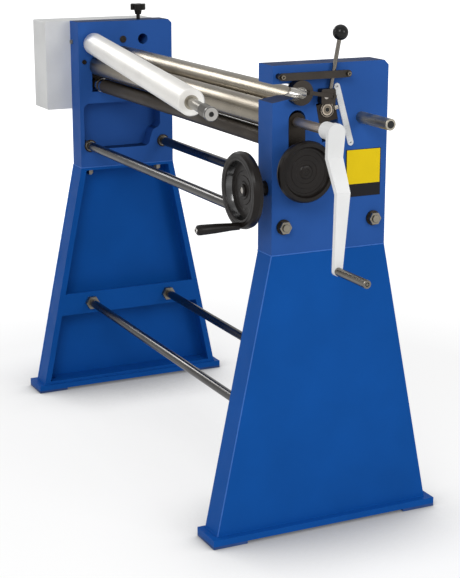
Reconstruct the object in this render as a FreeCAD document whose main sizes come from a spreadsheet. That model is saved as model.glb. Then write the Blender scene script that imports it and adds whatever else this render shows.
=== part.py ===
"""Slip roll machine, 1 m working width: two stands joined by tie rods carry three rolls.

X runs along the rolls, towards the crank stand. Y runs from the front to the rear.
Z is up from the floor. All sizes are in millimetres.
"""
import FreeCAD, Part
import math
import os
import re

import Sketcher
from FreeCAD import Placement, Rotation, Vector

DOC = FreeCAD.newDocument("SlipRoll")
SHEET = DOC.addObject("Spreadsheet::Sheet", "Sizes")

# Driving dimensions, one sheet cell each.
SIZES = {
    # stands
    "inner_span": 1060,
    "head_thick": 62,
    "head_deep": 270,
    "head_base": 622,
    "head_top": 1012,
    "head_bevel": 10,
    "leg_sheet": 8,
    "leg_lip": 16,
    "strip_low": 213,
    "strip_high": 273,
    "sole_thick": 6,
    "sole_long": 80,
    "plate_thick": 14,
    "plate_deep": 550,
    "plate_spare": 16,
    "plate_outboard": 16,
    "plate_inboard": 6,
    "anchor_radius": 7,
    "anchor_inset": 50,
    "head_bolt_radius": 6,
    "head_bolt_spread": 200,
    "head_bolt_depth": 30,
    "stud_nut_high": 14,
    "stud_below": 17,
    # tie rods
    "tie_rise": 59,
    "tie_front": -108,
    "tie_rear": 105,
    "tie_radius": 12,
    "tie_stud_radius": 8,
    "tie_nut_thick": 10,
    "stud_past": 3,
    "tie_neck": 22,
    "tie_neck_radius": 9.5,
    "washer_radius": 16,
    "washer_thick": 3,
    "low_tie_height": 243,
    "low_tie_spread": 230,
    "low_tie_radius": 11,
    "low_nut_thick": 12,
    # pocket on the inner face of each head
    "pocket_front": -124,
    "pocket_rear": 98,
    "pocket_base": 670,
    "left_pocket_top": 795,
    "right_pocket_top": 776,
    "pocket_deep": 42,
    "pocket_corner": 16,
    "tie_boss_foot": 42,
    "tie_boss_waist": 30,
    "tie_boss_shoulder": 32,
    # rolls
    "roll_radius": 28.5,
    "roll_clear": 5,
    "nip_front": -78.7,
    "nip_gap": 4,
    "upper_axis": 957,
    "rear_roll_y": -10.5,
    "rear_roll_z": 917.3,
    "roll_bevel": 2,
    "journal_radius": 10,
    "run_clear": 0.05,
    "slide_clear": 0.3,
    "turn_clear": 1.5,
    "wheel_clear": 2,
    # upper roll, its swivel and its slot
    "pivot_out": 20,
    "swing_angle": 9.99,
    "pin_lean": 5.77,
    "left_roll_clear": 12,
    "swing_journal_radius": 12,
    "tail_journal_radius": 10.5,
    "tail_long": 87,
    "grip_long": 54,
    "grip_radius": 11.5,
    "tail_cap_radius": 14.5,
    "tail_cap_long": 8,
    "tail_seat": 40,
    "tail_hole_deep": 10,
    "tail_hole_radius": 4.5,
    "sleeve_bore": 7,
    "sleeve_groove": 3,
    "upper_slot_half": 15.5,
    "upper_slot_lift": 2.5,
    "slot_ramp_drop": 7,
    "slot_ramp_long": 42,
    "swing_slot_half": 15.5,
    "swing_slot_travel": 15,
    # gears behind the cover
    "roll_gear_teeth": 12,
    "roll_gear_module": 5,
    "upper_gear_wide": 12,
    "lower_gear_wide": 16,
    "yoke_plate": 10,
    "yoke_gap": 14,
    "yoke_half": 14,
    "yoke_arm": 5,
    "yoke_foot": 4,
    "kingpin_wall": 6,
    "kingpin_radius": 5,
    "kingpin_bracket": 7,
    # gear cover
    "cover_deep": 99,
    "cover_front": -205,
    "cover_rear": 112,
    "cover_base": 776,
    "cover_top": 1011,
    "cover_sheet": 2,
    "cover_corner": 3,
    "post_radius": 6,
    "cover_screw_radius": 3,
    "cover_screw_head": 5,
    "cover_screw_high": 3.5,
    "post_inset": 14,
    # lower roll lift
    "block_half": 19.2,
    "block_bottom": 34.7,
    "lift_travel": 2.6,
    "block_start": 16.5,
    "lift_drop": 50,
    "lift_shaft_radius": 16,
    "lift_end_radius": 9,
    "lift_gear_seat": 14,
    "lift_collar_radius": 18,
    "eccentric_radius": 15,
    "eccentric_throw": 3,
    "eccentric_end": 36,
    "lift_gear_teeth": 33,
    "lift_pinion_teeth": 13,
    "lift_module": 2,
    "lift_gear_wide": 12,
    "lift_gear_start": 3,
    "lift_end_wall": 6,
    "lift_collar_long": 9,
    "stub_radius": 8,
    "low_wheel_radius": 64,
    "low_wheel_deep": 30,
    "low_wheel_stand": 20,
    "low_wheel_hub": 15,
    # rear roll slide
    "rear_tilt": 11.5,
    "rear_block_half": 22,
    "rear_block_low": 25,
    "rear_block_top": 14,
    "rear_rise": 1.5,
    "rear_drop": 37,
    "rear_slot_spare": 2,
    "rear_journal_radius": 10,
    "rear_boss_radius": 15,
    "rear_boss_long": 3,
    "rack_offset": 9.2,
    "rack_back": 12,
    "rack_module": 2,
    "rack_teeth": 11,
    "rack_wide": 12,
    "rack_pinion_teeth": 20,
    "cross_shaft_radius": 11,
    "cross_end_radius": 8,
    "cross_end_wall": 2,
    "right_rack_start": 41,
    "left_rack_start": 49,
    # worm drive and front handwheel
    "worm_x": 31,
    "worm_rise": 137,
    "worm_shaft_radius": 7,
    "worm_radius": 10,
    "worm_long": 46,
    "worm_hole_past": 16,
    "worm_bush_wall": 9,
    "worm_bush_long": 9,
    "worm_gap": 0.5,
    "worm_wheel_teeth": 40,
    "worm_wheel_module": 2,
    "worm_wheel_wide": 14,
    "front_wheel_radius": 80,
    "front_wheel_hub": -181,
    "front_wheel_deep": 34,
    "front_wheel_boss": 25,
    "front_handle_long": 97,
    "front_handle_small": 8,
    "front_handle_large": 11,
    "front_handle_angle": 8.6,
    "front_handle_pitch": 72,
    "front_handle_pin": 4,
    "front_handle_cap": 6,
    # latch on the crank side
    "latch_thick": 20,
    "latch_radius": 25.5,
    "latch_bore": 11.2,
    "latch_mouth_drop": 5,
    "latch_crank": 16,
    "latch_pin_radius": 3,
    "link_wide": 8,
    "link_thick": 4,
    "lever_y": -22,
    "lever_z": 946.5,
    "lever_block_wide": 33,
    "lever_block_high": 31,
    "lever_block_shift": 4.5,
    "lever_rod_out": 14,
    "lever_rod_radius": 4.4,
    "lever_rod_lean": 10.5,
    "lever_rod_long": 121,
    "lever_rod_seat": 8,
    "lever_pin_radius": 5,
    "lever_pin_seat": 15,
    "ball_radius": 16,
    "strap_front": -130,
    "strap_rear": 36,
    "strap_base": 983,
    "strap_high": 15,
    "strap_thick": 6,
    "strap_stand": 13.5,
    "spacer_radius": 6,
    "strap_screw_radius": 4.5,
    "strap_screw_high": 3,
    # scale, pointer and peg
    "scale_long": 136,
    "scale_wide": 13,
    "scale_thick": 3,
    "scale_tilt": 16.3,
    "scale_y": 29,
    "scale_z": 905,
    "pointer_reach": 24,
    "pointer_high": 8,
    "pointer_thick": 3,
    "peg_radius": 12,
    "peg_seat": 20,
    "peg_long": 117,
    "peg_y": 71.3,
    "peg_z": 896.6,
    # crank
    "crank_stand": 119,
    "crank_hub_radius": 17.5,
    "crank_hub_long": 34,
    "crank_arm_thick": 10,
    "crank_skin": 3,
    "crank_bend_shift": 4,
    "crank_arm_top": 38,
    "crank_arm_end": 19,
    "crank_radius": 265,
    "crank_jog_start": 51,
    "crank_jog_end": 114,
    "crank_jog": 41,
    "crank_hang": 3.2,
    "crank_grip_radius": 8.5,
    "crank_grip_bore": 4,
    "crank_grip_long": 110,
    # star knob and rod hole in the left head
    "rod_hole_y": 50,
    "rod_hole_z": 962,
    "rod_hole_radius": 14,
    "knob_stem_radius": 5,
    "knob_lift": 13,
    "knob_neck_radius": 10.5,
    "knob_neck_long": 12,
    "knob_radius": 21.5,
    "knob_thick": 16,
    "knob_lobe": 6.5,
}

# Positions and sizes that follow from the driving dimensions.
PLACES = {
    "inner": "inner_span / 2",
    "outer": "inner_span / 2 + head_thick",
    "leg_base": "sole_thick + plate_thick",
    "anchor_spread": "plate_deep - 2 * anchor_inset",
    "leg_deep": "plate_deep - 2 * plate_spare",
    "tie_height": "head_base + tie_rise",
    "worm_height": "head_base + worm_rise",
    "post_front": "post_inset - head_deep / 2",
    "post_rear": "cover_rear - post_inset",
    "post_low": "cover_base + post_inset",
    "post_high": "cover_top - post_inset",
    "lower_axis": "upper_axis - 2 * roll_radius - nip_gap",
    "lift_axis": "lower_axis - lift_drop",
    "stub_axis": "lift_axis - lift_module * (lift_gear_teeth + lift_pinion_teeth) / 2",
    "pinion_pitch": "rack_module * rack_pinion_teeth / 2",
    "worm_wheel_tip": "worm_wheel_module * (worm_wheel_teeth / 2 + 1)",
    "cross_z": "worm_height + worm_wheel_tip + worm_gap + worm_radius - worm_wheel_module / 4",
    "cross_y": "rear_roll_y + (rear_roll_z - cross_z) * tan(rear_tilt)"
               " + (pinion_pitch + rack_offset) / cos(rear_tilt)",
    "rack_centre": "-(rear_roll_z - cross_z) * cos(rear_tilt)"
                   " - (cross_y - rear_roll_y) * sin(rear_tilt)",
    "pivot_x": "-(outer + pivot_out)",
    "rear_slot_low": "-(rear_block_low + rear_drop + rear_slot_spare)",
    "rear_slot_top": "rear_block_top + rear_rise + rear_slot_spare",
    "rack_pitch": "rack_module * pi",
    "rack_low": "rack_centre - 3 * rack_pitch",
    "lever_start": "latch_start + rear_boss_long + slide_clear",
    "lever_thick": "latch_thick - rear_boss_long - slide_clear",
    "front_rim_y": "front_wheel_hub + front_wheel_deep / 2 - front_wheel_deep",
    "latch_start": "outer + slide_clear",
    "worm_place": "inner + worm_x",
    "strap_start": "outer + strap_stand",
}


def fill_sheet():
    """Give every driving dimension a cell with its name as alias."""
    for row, (name, number) in enumerate(SIZES.items(), 1):
        SHEET.set("A%d" % row, name)
        SHEET.set("B%d" % row, str(number))
        SHEET.setAlias("B%d" % row, name)
    DOC.recompute()


def bound(formula):
    """Write a formula of size and place names as an expression on the sheet."""
    def swap(match):
        word = match.group(0)
        if word in PLACES:
            return "(" + bound(PLACES[word]) + ")"
        if word in SIZES:
            return "Sizes." + word
        return word
    return re.sub(r"[A-Za-z_][A-Za-z_0-9]*", swap, str(formula))


def value(formula):
    """Work a formula out to a number."""
    return float(SHEET.evalExpression(bound(formula)))


def point(along, across):
    """Make a sketch point from two formulas."""
    return Vector(value(along), value(across), 0)


# ---------------------------------------------------------------- sketches and bodies

NORMAL = {"XY": 1, "XZ": -1, "YZ": 1}
NAMES = set()


def unique(name):
    """Give a feature a document name that is not in use."""
    trial = name
    count = 1
    while trial in NAMES:
        count += 1
        trial = "%s_%d" % (name, count)
    NAMES.add(trial)
    return trial


def new_body(label):
    """Start a body under its own label."""
    body = DOC.addObject("PartDesign::Body", unique(label))
    body.Label = label
    return body


def bind_point(sketch, geometry, end, along, across):
    """Fix a point of a sketch by two formulas."""
    for kind, formula in (("DistanceX", along), ("DistanceY", across)):
        rule = Sketcher.Constraint(kind, -1, 1, geometry, end, value(formula))
        number = sketch.addConstraint(rule)
        sketch.setExpression("Constraints[%d]" % number, bound(formula))


def draw_polygon(sketch, corners):
    """Draw a closed outline with sharp corners."""
    first = sketch.GeometryCount
    count = len(corners)
    spots = [point(*corner) for corner in corners]
    for index in range(count):
        sketch.addGeometry(Part.LineSegment(spots[index], spots[(index + 1) % count]))
    for index in range(count):
        follower = first + (index + 1) % count
        sketch.addConstraint(Sketcher.Constraint("Coincident", first + index, 2, follower, 1))
    for index, corner in enumerate(corners):
        bind_point(sketch, first + index, 1, *corner)


def draw_rounded(sketch, corners, radius):
    """Draw a closed outline whose corners are arcs of one radius."""
    count = len(corners)
    spots = [point(*corner) for corner in corners]
    size = value(radius)
    ends = []
    for index in range(count):
        spot = spots[index]
        back = (spots[index - 1] - spot).normalize()
        ahead = (spots[(index + 1) % count] - spot).normalize()
        half = back.getAngle(ahead) / 2
        reach = size / math.tan(half)
        middle = (back + ahead).normalize()
        ends.append((spot + back * reach, spot + middle * (size / math.sin(half) - size),
                     spot + ahead * reach))
    first = sketch.GeometryCount
    for index in range(count):
        sketch.addGeometry(Part.LineSegment(ends[index][2], ends[(index + 1) % count][0]))
    for start, middle, finish in ends:
        sketch.addGeometry(Part.Arc(start, middle, finish))
    for spot in spots:
        sketch.addGeometry(Part.Point(spot), True)
    for index, corner in enumerate(corners):
        line = first + index
        before = first + (index - 1) % count
        arc = first + count + index
        mark = first + 2 * count + index
        turned_left = (spots[index] - spots[index - 1]).cross(
            spots[(index + 1) % count] - spots[index]).z > 0
        arc_start = 1 if turned_left else 2
        bind_point(sketch, mark, 1, *corner)
        sketch.addConstraint(Sketcher.Constraint("PointOnObject", mark, 1, line))
        sketch.addConstraint(Sketcher.Constraint("PointOnObject", mark, 1, before))
        sketch.addConstraint(Sketcher.Constraint("Tangent", before, 2, arc, arc_start))
        sketch.addConstraint(Sketcher.Constraint("Tangent", line, 1, arc, 3 - arc_start))
        number = sketch.addConstraint(Sketcher.Constraint("Radius", arc, size))
        sketch.setExpression("Constraints[%d]" % number, bound(radius))


def draw_circle(sketch, along, across, radius):
    """Draw a circle placed and sized by formulas."""
    index = sketch.GeometryCount
    sketch.addGeometry(Part.Circle(point(along, across), Vector(0, 0, 1), value(radius)))
    bind_point(sketch, index, 3, along, across)
    number = sketch.addConstraint(Sketcher.Constraint("Radius", index, value(radius)))
    sketch.setExpression("Constraints[%d]" % number, bound(radius))


def new_sketch(body, plane, start="0"):
    """Put a sketch on one of the body's own planes, moved along its normal."""
    role = plane + "_Plane"
    support = [item for item in body.Origin.OriginFeatures if item.Role == role][0]
    sketch = body.newObject("Sketcher::SketchObject", unique("Sketch"))
    sketch.AttachmentSupport = (support, [""])
    sketch.MapMode = "FlatFace"
    sketch.setExpression("AttachmentOffset.Base.z", bound("%d * (%s)" % (NORMAL[plane], start)))
    return sketch


def draw(sketch, outlines, circles, corner):
    """Draw all loops of one sketch."""
    for corners in outlines:
        if corner:
            draw_rounded(sketch, corners, corner)
        else:
            draw_polygon(sketch, corners)
    for circle in circles:
        draw_circle(sketch, *circle)


def add(body, plane, start, length, outlines=(), circles=(), way=1, corner=None):
    """Pad loops from a start plane, towards plus or minus its axis."""
    sketch = new_sketch(body, plane, start)
    draw(sketch, outlines, circles, corner)
    pad = body.newObject("PartDesign::Pad", unique("Pad"))
    pad.Profile = sketch
    pad.Reversed = way * NORMAL[plane] < 0
    pad.setExpression("Length", bound(length))
    return pad


def cut(body, plane, start, length, outlines=(), circles=(), way=1, corner=None):
    """Pocket loops from a start plane, towards plus or minus its axis, and prove that it cut."""
    DOC.recompute()
    before = body.Shape.Volume
    sketch = new_sketch(body, plane, start)
    draw(sketch, outlines, circles, corner)
    pocket = body.newObject("PartDesign::Pocket", unique("Pocket"))
    pocket.Profile = sketch
    pocket.Reversed = way * NORMAL[plane] > 0
    pocket.setExpression("Length", bound(length))
    DOC.recompute()
    if body.Shape.Volume > before - 0.01:
        raise RuntimeError("%s: a pocket cuts nothing" % body.Label)
    return pocket


def turn(body, profile):
    """Revolve a profile of (along, radius) points about the body's X axis."""
    sketch = new_sketch(body, "XY")
    draw(sketch, [profile], (), None)
    revolution = body.newObject("PartDesign::Revolution", unique("Revolution"))
    revolution.Profile = sketch
    revolution.ReferenceAxis = (sketch, ["H_Axis"])
    revolution.Angle = 360
    return revolution


def pattern(body, feature, copies):
    """Repeat a feature evenly about the body's X axis."""
    polar = body.newObject("PartDesign::PolarPattern", unique("PolarPattern"))
    polar.Originals = [feature]
    axis = [item for item in body.Origin.OriginFeatures if item.Role == "X_Axis"][0]
    polar.Axis = (axis, [""])
    polar.Angle = 360
    polar.Occurrences = int(round(value(copies)))
    body.Tip = polar
    return polar


ALONG_X = Rotation()
ALONG_Z = Rotation(Vector(0, 1, 0), -90)
ALONG_FRONT = Rotation(Vector(0, 0, 1), -90)
ALONG_REAR = Rotation(Vector(0, 0, 1), 90)


def put(item, where=("0", "0", "0"), rotation=ALONG_X):
    """Place an object by three formulas and a rotation."""
    item.Placement = Placement(Vector(*[value(part) for part in where]), rotation)
    for axis, formula in zip("xyz", where):
        item.setExpression("Placement.Base." + axis, bound(formula))
    return item


def rod(label, radius, length, where, rotation=ALONG_X):
    """Make a plain round rod that starts at a place and runs along a direction."""
    item = DOC.addObject("Part::Cylinder", unique(label))
    item.Label = label
    item.setExpression("Radius", bound(radius))
    item.setExpression("Height", bound(length))
    return put(item, where, rotation * Rotation(Vector(0, 1, 0), 90))


def nut(label, across, thick, bore, where, rotation=ALONG_X):
    """Make a hexagon nut, or a hexagon head where the bore is none."""
    body = new_body(label)
    corners = []
    for index in range(6):
        corners.append(("(%s) / sqrt(3) * cos(%d)" % (across, 60 * index),
                        "(%s) / sqrt(3) * sin(%d)" % (across, 60 * index)))
    circles = [("0", "0", bore)] if bore else []
    add(body, "YZ", "0", thick, [corners], circles)
    return put(body, where, rotation)


def ring(label, outside, bore, length, where, rotation=ALONG_X):
    """Make a plain ring, washer or sleeve."""
    body = new_body(label)
    add(body, "YZ", "0", length, (), [("0", "0", outside), ("0", "0", bore)])
    return put(body, where, rotation)


NODES = []


def keep(item, label=None):
    """Mark an object as one node of the machine."""
    if label:
        item.Label = label
    NODES.append(item)
    return item


def group(label, items):
    """Hold identical separate solids in one node."""
    compound = DOC.addObject("Part::Compound", unique(label))
    compound.Label = label
    compound.Links = items
    return keep(compound)


def mirrored_x(side, formula):
    """Sign a distance along X for the right (1) or left (-1) stand."""
    return "%d * (%s)" % (side, formula)


def rectangle(low_a, low_b, high_a, high_b):
    """List the corners of an upright rectangle."""
    return [(low_a, low_b), (high_a, low_b), (high_a, high_b), (low_a, high_b)]


# ---------------------------------------------------------------- stands

def leg_half(height, inset):
    """Half depth of a leg at a height, less an inset."""
    return ("head_deep / 2 + (leg_deep - head_deep) / 2 * (head_base - (%s))"
            " / (head_base - leg_base) - (%s)" % (height, inset))


def leg_outline(low, high, inset):
    """Outline of a tapered leg between two heights."""
    low_half = leg_half(low, inset)
    high_half = leg_half(high, inset)
    return [("-(%s)" % low_half, low), (low_half, low),
            (high_half, high), ("-(%s)" % high_half, high)]


def make_leg(label, side):
    """Box leg with a plain outer face; the inner face is open above and below a cross strip."""
    body = new_body(label)
    outline = leg_outline("leg_base", "head_base", "0")
    room = leg_outline("leg_base + leg_sheet", "head_base - leg_sheet", "leg_sheet")
    low = leg_outline("leg_base + leg_sheet", "strip_low", "leg_lip")
    high = leg_outline("strip_high", "head_base - leg_sheet", "leg_lip")
    outer = mirrored_x(side, "outer")
    add(body, "YZ", outer, "leg_sheet", [outline], way=-side)
    add(body, "YZ", mirrored_x(side, "outer - leg_sheet"), "head_thick - 2 * leg_sheet",
        [outline, room], way=-side)
    rods = [("%d * low_tie_spread / 2" % row, "low_tie_height", "low_tie_radius + run_clear")
            for row in (-1, 1)]
    add(body, "YZ", mirrored_x(side, "inner + leg_sheet"), "leg_sheet", [outline, low, high],
        rods, way=-side)
    for row in (-1, 1):
        middle = mirrored_x(side, "inner + head_thick / 2")
        cut(body, "XY", "head_base", "leg_sheet + 1", (),
            [(middle, "%d * head_bolt_spread / 2" % row, "head_bolt_radius + slide_clear")], way=-1)
        cut(body, "XY", "leg_base - 1", "leg_sheet + 2", (),
            [(middle, "%d * anchor_spread / 2" % row, "anchor_radius")])
    return keep(put(body))


def make_foot_plate(label, side):
    """Thick plate welded under a leg, with two anchor holes."""
    body = new_body(label)
    corners = rectangle(mirrored_x(side, "inner - plate_inboard"), "-plate_deep / 2",
                        mirrored_x(side, "outer + plate_outboard"), "plate_deep / 2")
    holes = []
    for row in (-1, 1):
        holes.append((mirrored_x(side, "inner + head_thick / 2"),
                      "%d * anchor_spread / 2" % row, "anchor_radius"))
    add(body, "XY", "sole_thick", "plate_thick", [corners], holes)
    return keep(put(body))


def make_soles():
    """Four square soles under the ends of the foot plates."""
    soles = []
    for side in (-1, 1):
        for row in (-1, 1):
            body = new_body("sole")
            corners = rectangle(mirrored_x(side, "inner - plate_inboard"),
                                "%d * (plate_deep / 2 - sole_long)" % row,
                                mirrored_x(side, "outer + plate_outboard"),
                                "%d * plate_deep / 2" % row)
            hole = (mirrored_x(side, "inner + head_thick / 2"),
                    "%d * anchor_spread / 2" % row, "anchor_radius")
            add(body, "XY", "0", "sole_thick", [corners], [hole])
            soles.append(put(body))
    return group("foot_soles", soles)


def slanted(across, along):
    """Place a point given across and along the rear slide, about the rear roll."""
    return ("rear_roll_y + (%s) * cos(rear_tilt) - (%s) * sin(rear_tilt)" % (across, along),
            "rear_roll_z + (%s) * sin(rear_tilt) + (%s) * cos(rear_tilt)" % (across, along))


def slanted_box(low, base, high, top):
    """Outline of a rectangle that lies along the rear slide."""
    return [slanted(low, base), slanted(high, base), slanted(high, top), slanted(low, top)]


def cut_head_pocket(body, side, top):
    """Rounded pocket on the inner face; a boss stays round the rear tie rod."""
    corners = [("pocket_front", "pocket_base"), ("tie_rear - tie_boss_foot", "pocket_base"),
               ("tie_rear - tie_boss_waist", "tie_height + tie_boss_shoulder"),
               ("pocket_rear", "tie_height + tie_boss_foot"), ("pocket_rear", top),
               ("pocket_front", top)]
    cut(body, "YZ", mirrored_x(side, "inner"), "pocket_deep", [corners], way=side,
        corner="pocket_corner")


def cut_lower_slot(body, side):
    """Round-topped slot of the lower roll's slide block, and the room of the eccentric."""
    half = "block_half + slide_clear"
    arch = "lower_axis + lift_travel + wheel_clear"
    low = "nip_front - (%s)" % half
    high = "nip_front + (%s)" % half
    inner = mirrored_x(side, "inner")
    cut(body, "YZ", inner, "head_thick",
        [rectangle(low, "lower_axis - block_bottom - lift_travel - slide_clear", high, arch)],
        way=side)
    cut(body, "YZ", inner, "head_thick", (), [("nip_front", arch, half)], way=side)
    room = rectangle(low, "lift_axis - eccentric_radius - eccentric_throw - turn_clear", high,
                     "lower_axis - journal_radius")
    cut(body, "YZ", inner, "eccentric_end + 0.5", [room], way=side)
    cut(body, "YZ", inner, "head_thick - lift_end_wall", (),
        [("nip_front", "lift_axis", "lift_end_radius + run_clear")], way=side)


def cut_rear_slot(body, side, rack_start, from_inside):
    """Slanted slot of the rear slide block, its rack's channel and its pinion's room."""
    inner = mirrored_x(side, "inner")
    outer = mirrored_x(side, "outer")
    half = "rear_block_half + slide_clear"
    slot = slanted_box("-(%s)" % half, "rear_slot_low", half, "rear_slot_top")
    cut(body, "YZ", inner, "head_thick", [slot], way=side)
    channel = slanted_box("-rack_back - turn_clear", "rack_low - rear_drop - 4",
                          "rack_offset + rack_module + turn_clear", "rear_slot_low + 1")
    pinion = ("cross_y", "cross_z", "pinion_pitch + rack_module + turn_clear")
    if from_inside:
        face, way, deep = inner, side, "%s + rack_wide + 1" % rack_start
    else:
        face, way, deep = outer, -side, "head_thick - %s + 1" % rack_start
    cut(body, "YZ", face, deep, [channel], way=way)
    cut(body, "YZ", face, deep, (), [pinion], way=way)


def cut_fastener_holes(body, side):
    """Through holes of the upper tie rods and blind holes of the head bolts."""
    inner = mirrored_x(side, "inner")
    for row in ("tie_front", "tie_rear"):
        cut(body, "YZ", inner, "head_thick", (),
            [(row, "tie_height", "tie_stud_radius + run_clear")], way=side)
    for row in (-1, 1):
        cut(body, "XY", "head_base", "head_bolt_depth + 2", (),
            [(mirrored_x(side, "inner + head_thick / 2"), "%d * head_bolt_spread / 2" % row,
              "head_bolt_radius + run_clear")])


def head_blank(label, side):
    """Rectangular head with a bevelled rear top edge."""
    body = new_body(label)
    outline = [("-head_deep / 2", "head_base"), ("head_deep / 2", "head_base"),
               ("head_deep / 2", "head_top - head_bevel"),
               ("head_deep / 2 - head_bevel", "head_top"), ("-head_deep / 2", "head_top")]
    add(body, "YZ", mirrored_x(side, "inner"), "head_thick", [outline], way=side)
    return body


def make_right_head():
    """Crank side head: open front slot of the upper roll, worm and lift gear rooms."""
    body = head_blank("right_head", 1)
    cut_head_pocket(body, 1, "right_pocket_top")
    cut(body, "YZ", "inner", "pocket_deep", (), [("cross_y", "cross_z", "worm_wheel_tip + wheel_clear")])
    front = "-head_deep / 2 - 1"
    floor = "upper_axis - upper_slot_half + upper_slot_lift"
    ceiling = "upper_axis + upper_slot_half + upper_slot_lift"
    slot = [(front, "%s - slot_ramp_drop" % floor), (front, ceiling),
            ("nip_front", ceiling), ("nip_front", floor),
            ("-head_deep / 2 + slot_ramp_long", floor)]
    cut(body, "YZ", "inner", "head_thick", [slot])
    cut(body, "YZ", "inner", "head_thick", (),
        [("nip_front", "upper_axis + upper_slot_lift", "upper_slot_half")])
    cut_lower_slot(body, 1)
    gear_room = "lift_module * (lift_gear_teeth / 2 + 1) + wheel_clear"
    pinion_room = "lift_module * (lift_pinion_teeth / 2 + 1) + turn_clear"
    room_deep = "lift_gear_start + lift_gear_wide + wheel_clear"
    cut(body, "YZ", "inner", room_deep, (), [("nip_front", "lift_axis", gear_room)])
    cut(body, "YZ", "inner", room_deep, (), [("nip_front", "stub_axis", pinion_room)])
    cut(body, "YZ", "inner", "head_thick", (),
        [("nip_front", "stub_axis", "stub_radius + run_clear")])
    cut_rear_slot(body, 1, "right_rack_start", True)
    cut(body, "YZ", "inner", "head_thick - cross_end_wall", (),
        [("cross_y", "cross_z", "cross_end_radius + run_clear")])
    cut(body, "XZ", "-head_deep / 2", "head_deep / 2 + pocket_rear + worm_hole_past", (),
        [("worm_place", "worm_height", "worm_shaft_radius + run_clear")])
    cut(body, "YZ", "outer", "peg_seat", (), [("peg_y", "peg_z", "stub_radius + run_clear")], way=-1)
    cut(body, "YZ", "outer", "lever_pin_seat", (), [("lever_y", "lever_z", "lever_pin_radius")],
        way=-1)
    cut_fastener_holes(body, 1)
    return keep(put(body))


def make_left_head():
    """Gear side head: swing slot of the upper roll, rod hole and its clamping screw hole."""
    body = head_blank("left_head", -1)
    cut_head_pocket(body, -1, "left_pocket_top")
    swing = rectangle("nip_front - swing_slot_travel", "upper_axis - swing_slot_half",
                      "nip_front", "upper_axis + swing_slot_half")
    cut(body, "YZ", "-inner", "head_thick", [swing], way=-1)
    for end in ("nip_front - swing_slot_travel", "nip_front"):
        cut(body, "YZ", "-inner", "head_thick", (), [(end, "upper_axis", "swing_slot_half")], way=-1)
    cut_lower_slot(body, -1)
    cut_rear_slot(body, -1, "left_rack_start", False)
    cut(body, "YZ", "-inner", "head_thick", (),
        [("cross_y", "cross_z", "cross_shaft_radius + run_clear")], way=-1)
    cut(body, "YZ", "-inner", "head_thick", (), [("rod_hole_y", "rod_hole_z", "rod_hole_radius")],
        way=-1)
    cut(body, "XY", "head_top", "head_top - rod_hole_z", (),
        [("-inner - head_thick / 2", "rod_hole_y", "knob_stem_radius + run_clear")], way=-1)
    cut_fastener_holes(body, -1)
    return keep(put(body))


def make_head_bolts():
    """Studs that hold each head on its leg."""
    bolts = []
    nuts = []
    for side in (-1, 1):
        for row in (-1, 1):
            across = "%d * head_bolt_spread / 2" % row
            middle = mirrored_x(side, "inner + head_thick / 2")
            low = "head_base - leg_sheet"
            bolts.append(rod("stud", "head_bolt_radius", "leg_sheet + head_bolt_depth + stud_below",
                             (middle, across, low + " - stud_below"), ALONG_Z))
            nuts.append(nut("stud_nut", "3 * head_bolt_radius", "stud_nut_high",
                            "head_bolt_radius + run_clear",
                            (middle, across, low + " - stud_nut_high"), ALONG_Z))
    group("head_studs", bolts)
    group("head_stud_nuts", nuts)


def make_tie_rods():
    """Upper tie rods with studs through the heads, and lower tie rods between the leg webs."""
    ends = []
    for label, row, deep in (("front_upper_tie_rod", "tie_front", "pocket_deep"),
                             ("rear_upper_tie_rod", "tie_rear", "0")):
        body = new_body(label)
        tip = "outer + washer_thick + tie_nut_thick + stud_past"
        seat = "inner + " + deep
        reach = "inner - tie_neck"
        profile = [("-(%s)" % tip, "0"), (tip, "0"), (tip, "tie_stud_radius"),
                   (seat, "tie_stud_radius"), (seat, "tie_neck_radius"),
                   (reach, "tie_neck_radius"), (reach, "tie_radius"),
                   ("-(%s)" % reach, "tie_radius"), ("-(%s)" % reach, "tie_neck_radius"),
                   ("-(%s)" % seat, "tie_neck_radius"), ("-(%s)" % seat, "tie_stud_radius"),
                   ("-(%s)" % tip, "tie_stud_radius")]
        turn(body, profile)
        ends.append(row)
        keep(put(body, ("0", row, "tie_height")))
    washers = []
    nuts = []
    for side in (-1, 1):
        rotation = ALONG_X if side > 0 else Rotation(Vector(0, 0, 1), 180)
        for row in ends:
            washers.append(ring("washer", "washer_radius", "tie_stud_radius + run_clear",
                                "washer_thick", (mirrored_x(side, "outer"), row, "tie_height"),
                                rotation))
            nuts.append(nut("tie_nut", "3 * tie_stud_radius", "tie_nut_thick",
                            "tie_stud_radius + run_clear",
                            (mirrored_x(side, "outer + washer_thick"), row, "tie_height"),
                            rotation))
    group("tie_rod_washers", washers)
    low_rods = []
    reach = "inner + leg_sheet + low_nut_thick + stud_past"
    for row in (-1, 1):
        across = "%d * low_tie_spread / 2" % row
        low_rods.append(rod("low_rod", "low_tie_radius", "2 * (%s)" % reach,
                            ("-(%s)" % reach, across, "low_tie_height")))
        for start in ("inner - low_nut_thick", "inner + leg_sheet", "-inner",
                      "-(inner + leg_sheet + low_nut_thick)"):
            nuts.append(nut("low_nut", "3 * low_tie_radius", "low_nut_thick",
                            "low_tie_radius + run_clear", (start, across, "low_tie_height")))
    group("lower_tie_rods", low_rods)
    group("tie_rod_nuts", nuts)


# ---------------------------------------------------------------- rolls

def swung(turned=0):
    """Rotation of the swung out upper roll group, with a turn about its own axis first."""
    lean = Rotation(Vector(1, 0, 0), value("pin_lean"))
    swing = Rotation(Vector(0, 0, 1), -value("swing_angle"))
    return lean * swing * Rotation(Vector(1, 0, 0), turned - value("pin_lean"))


PIVOT = ("pivot_x", "nip_front", "upper_axis")


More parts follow.
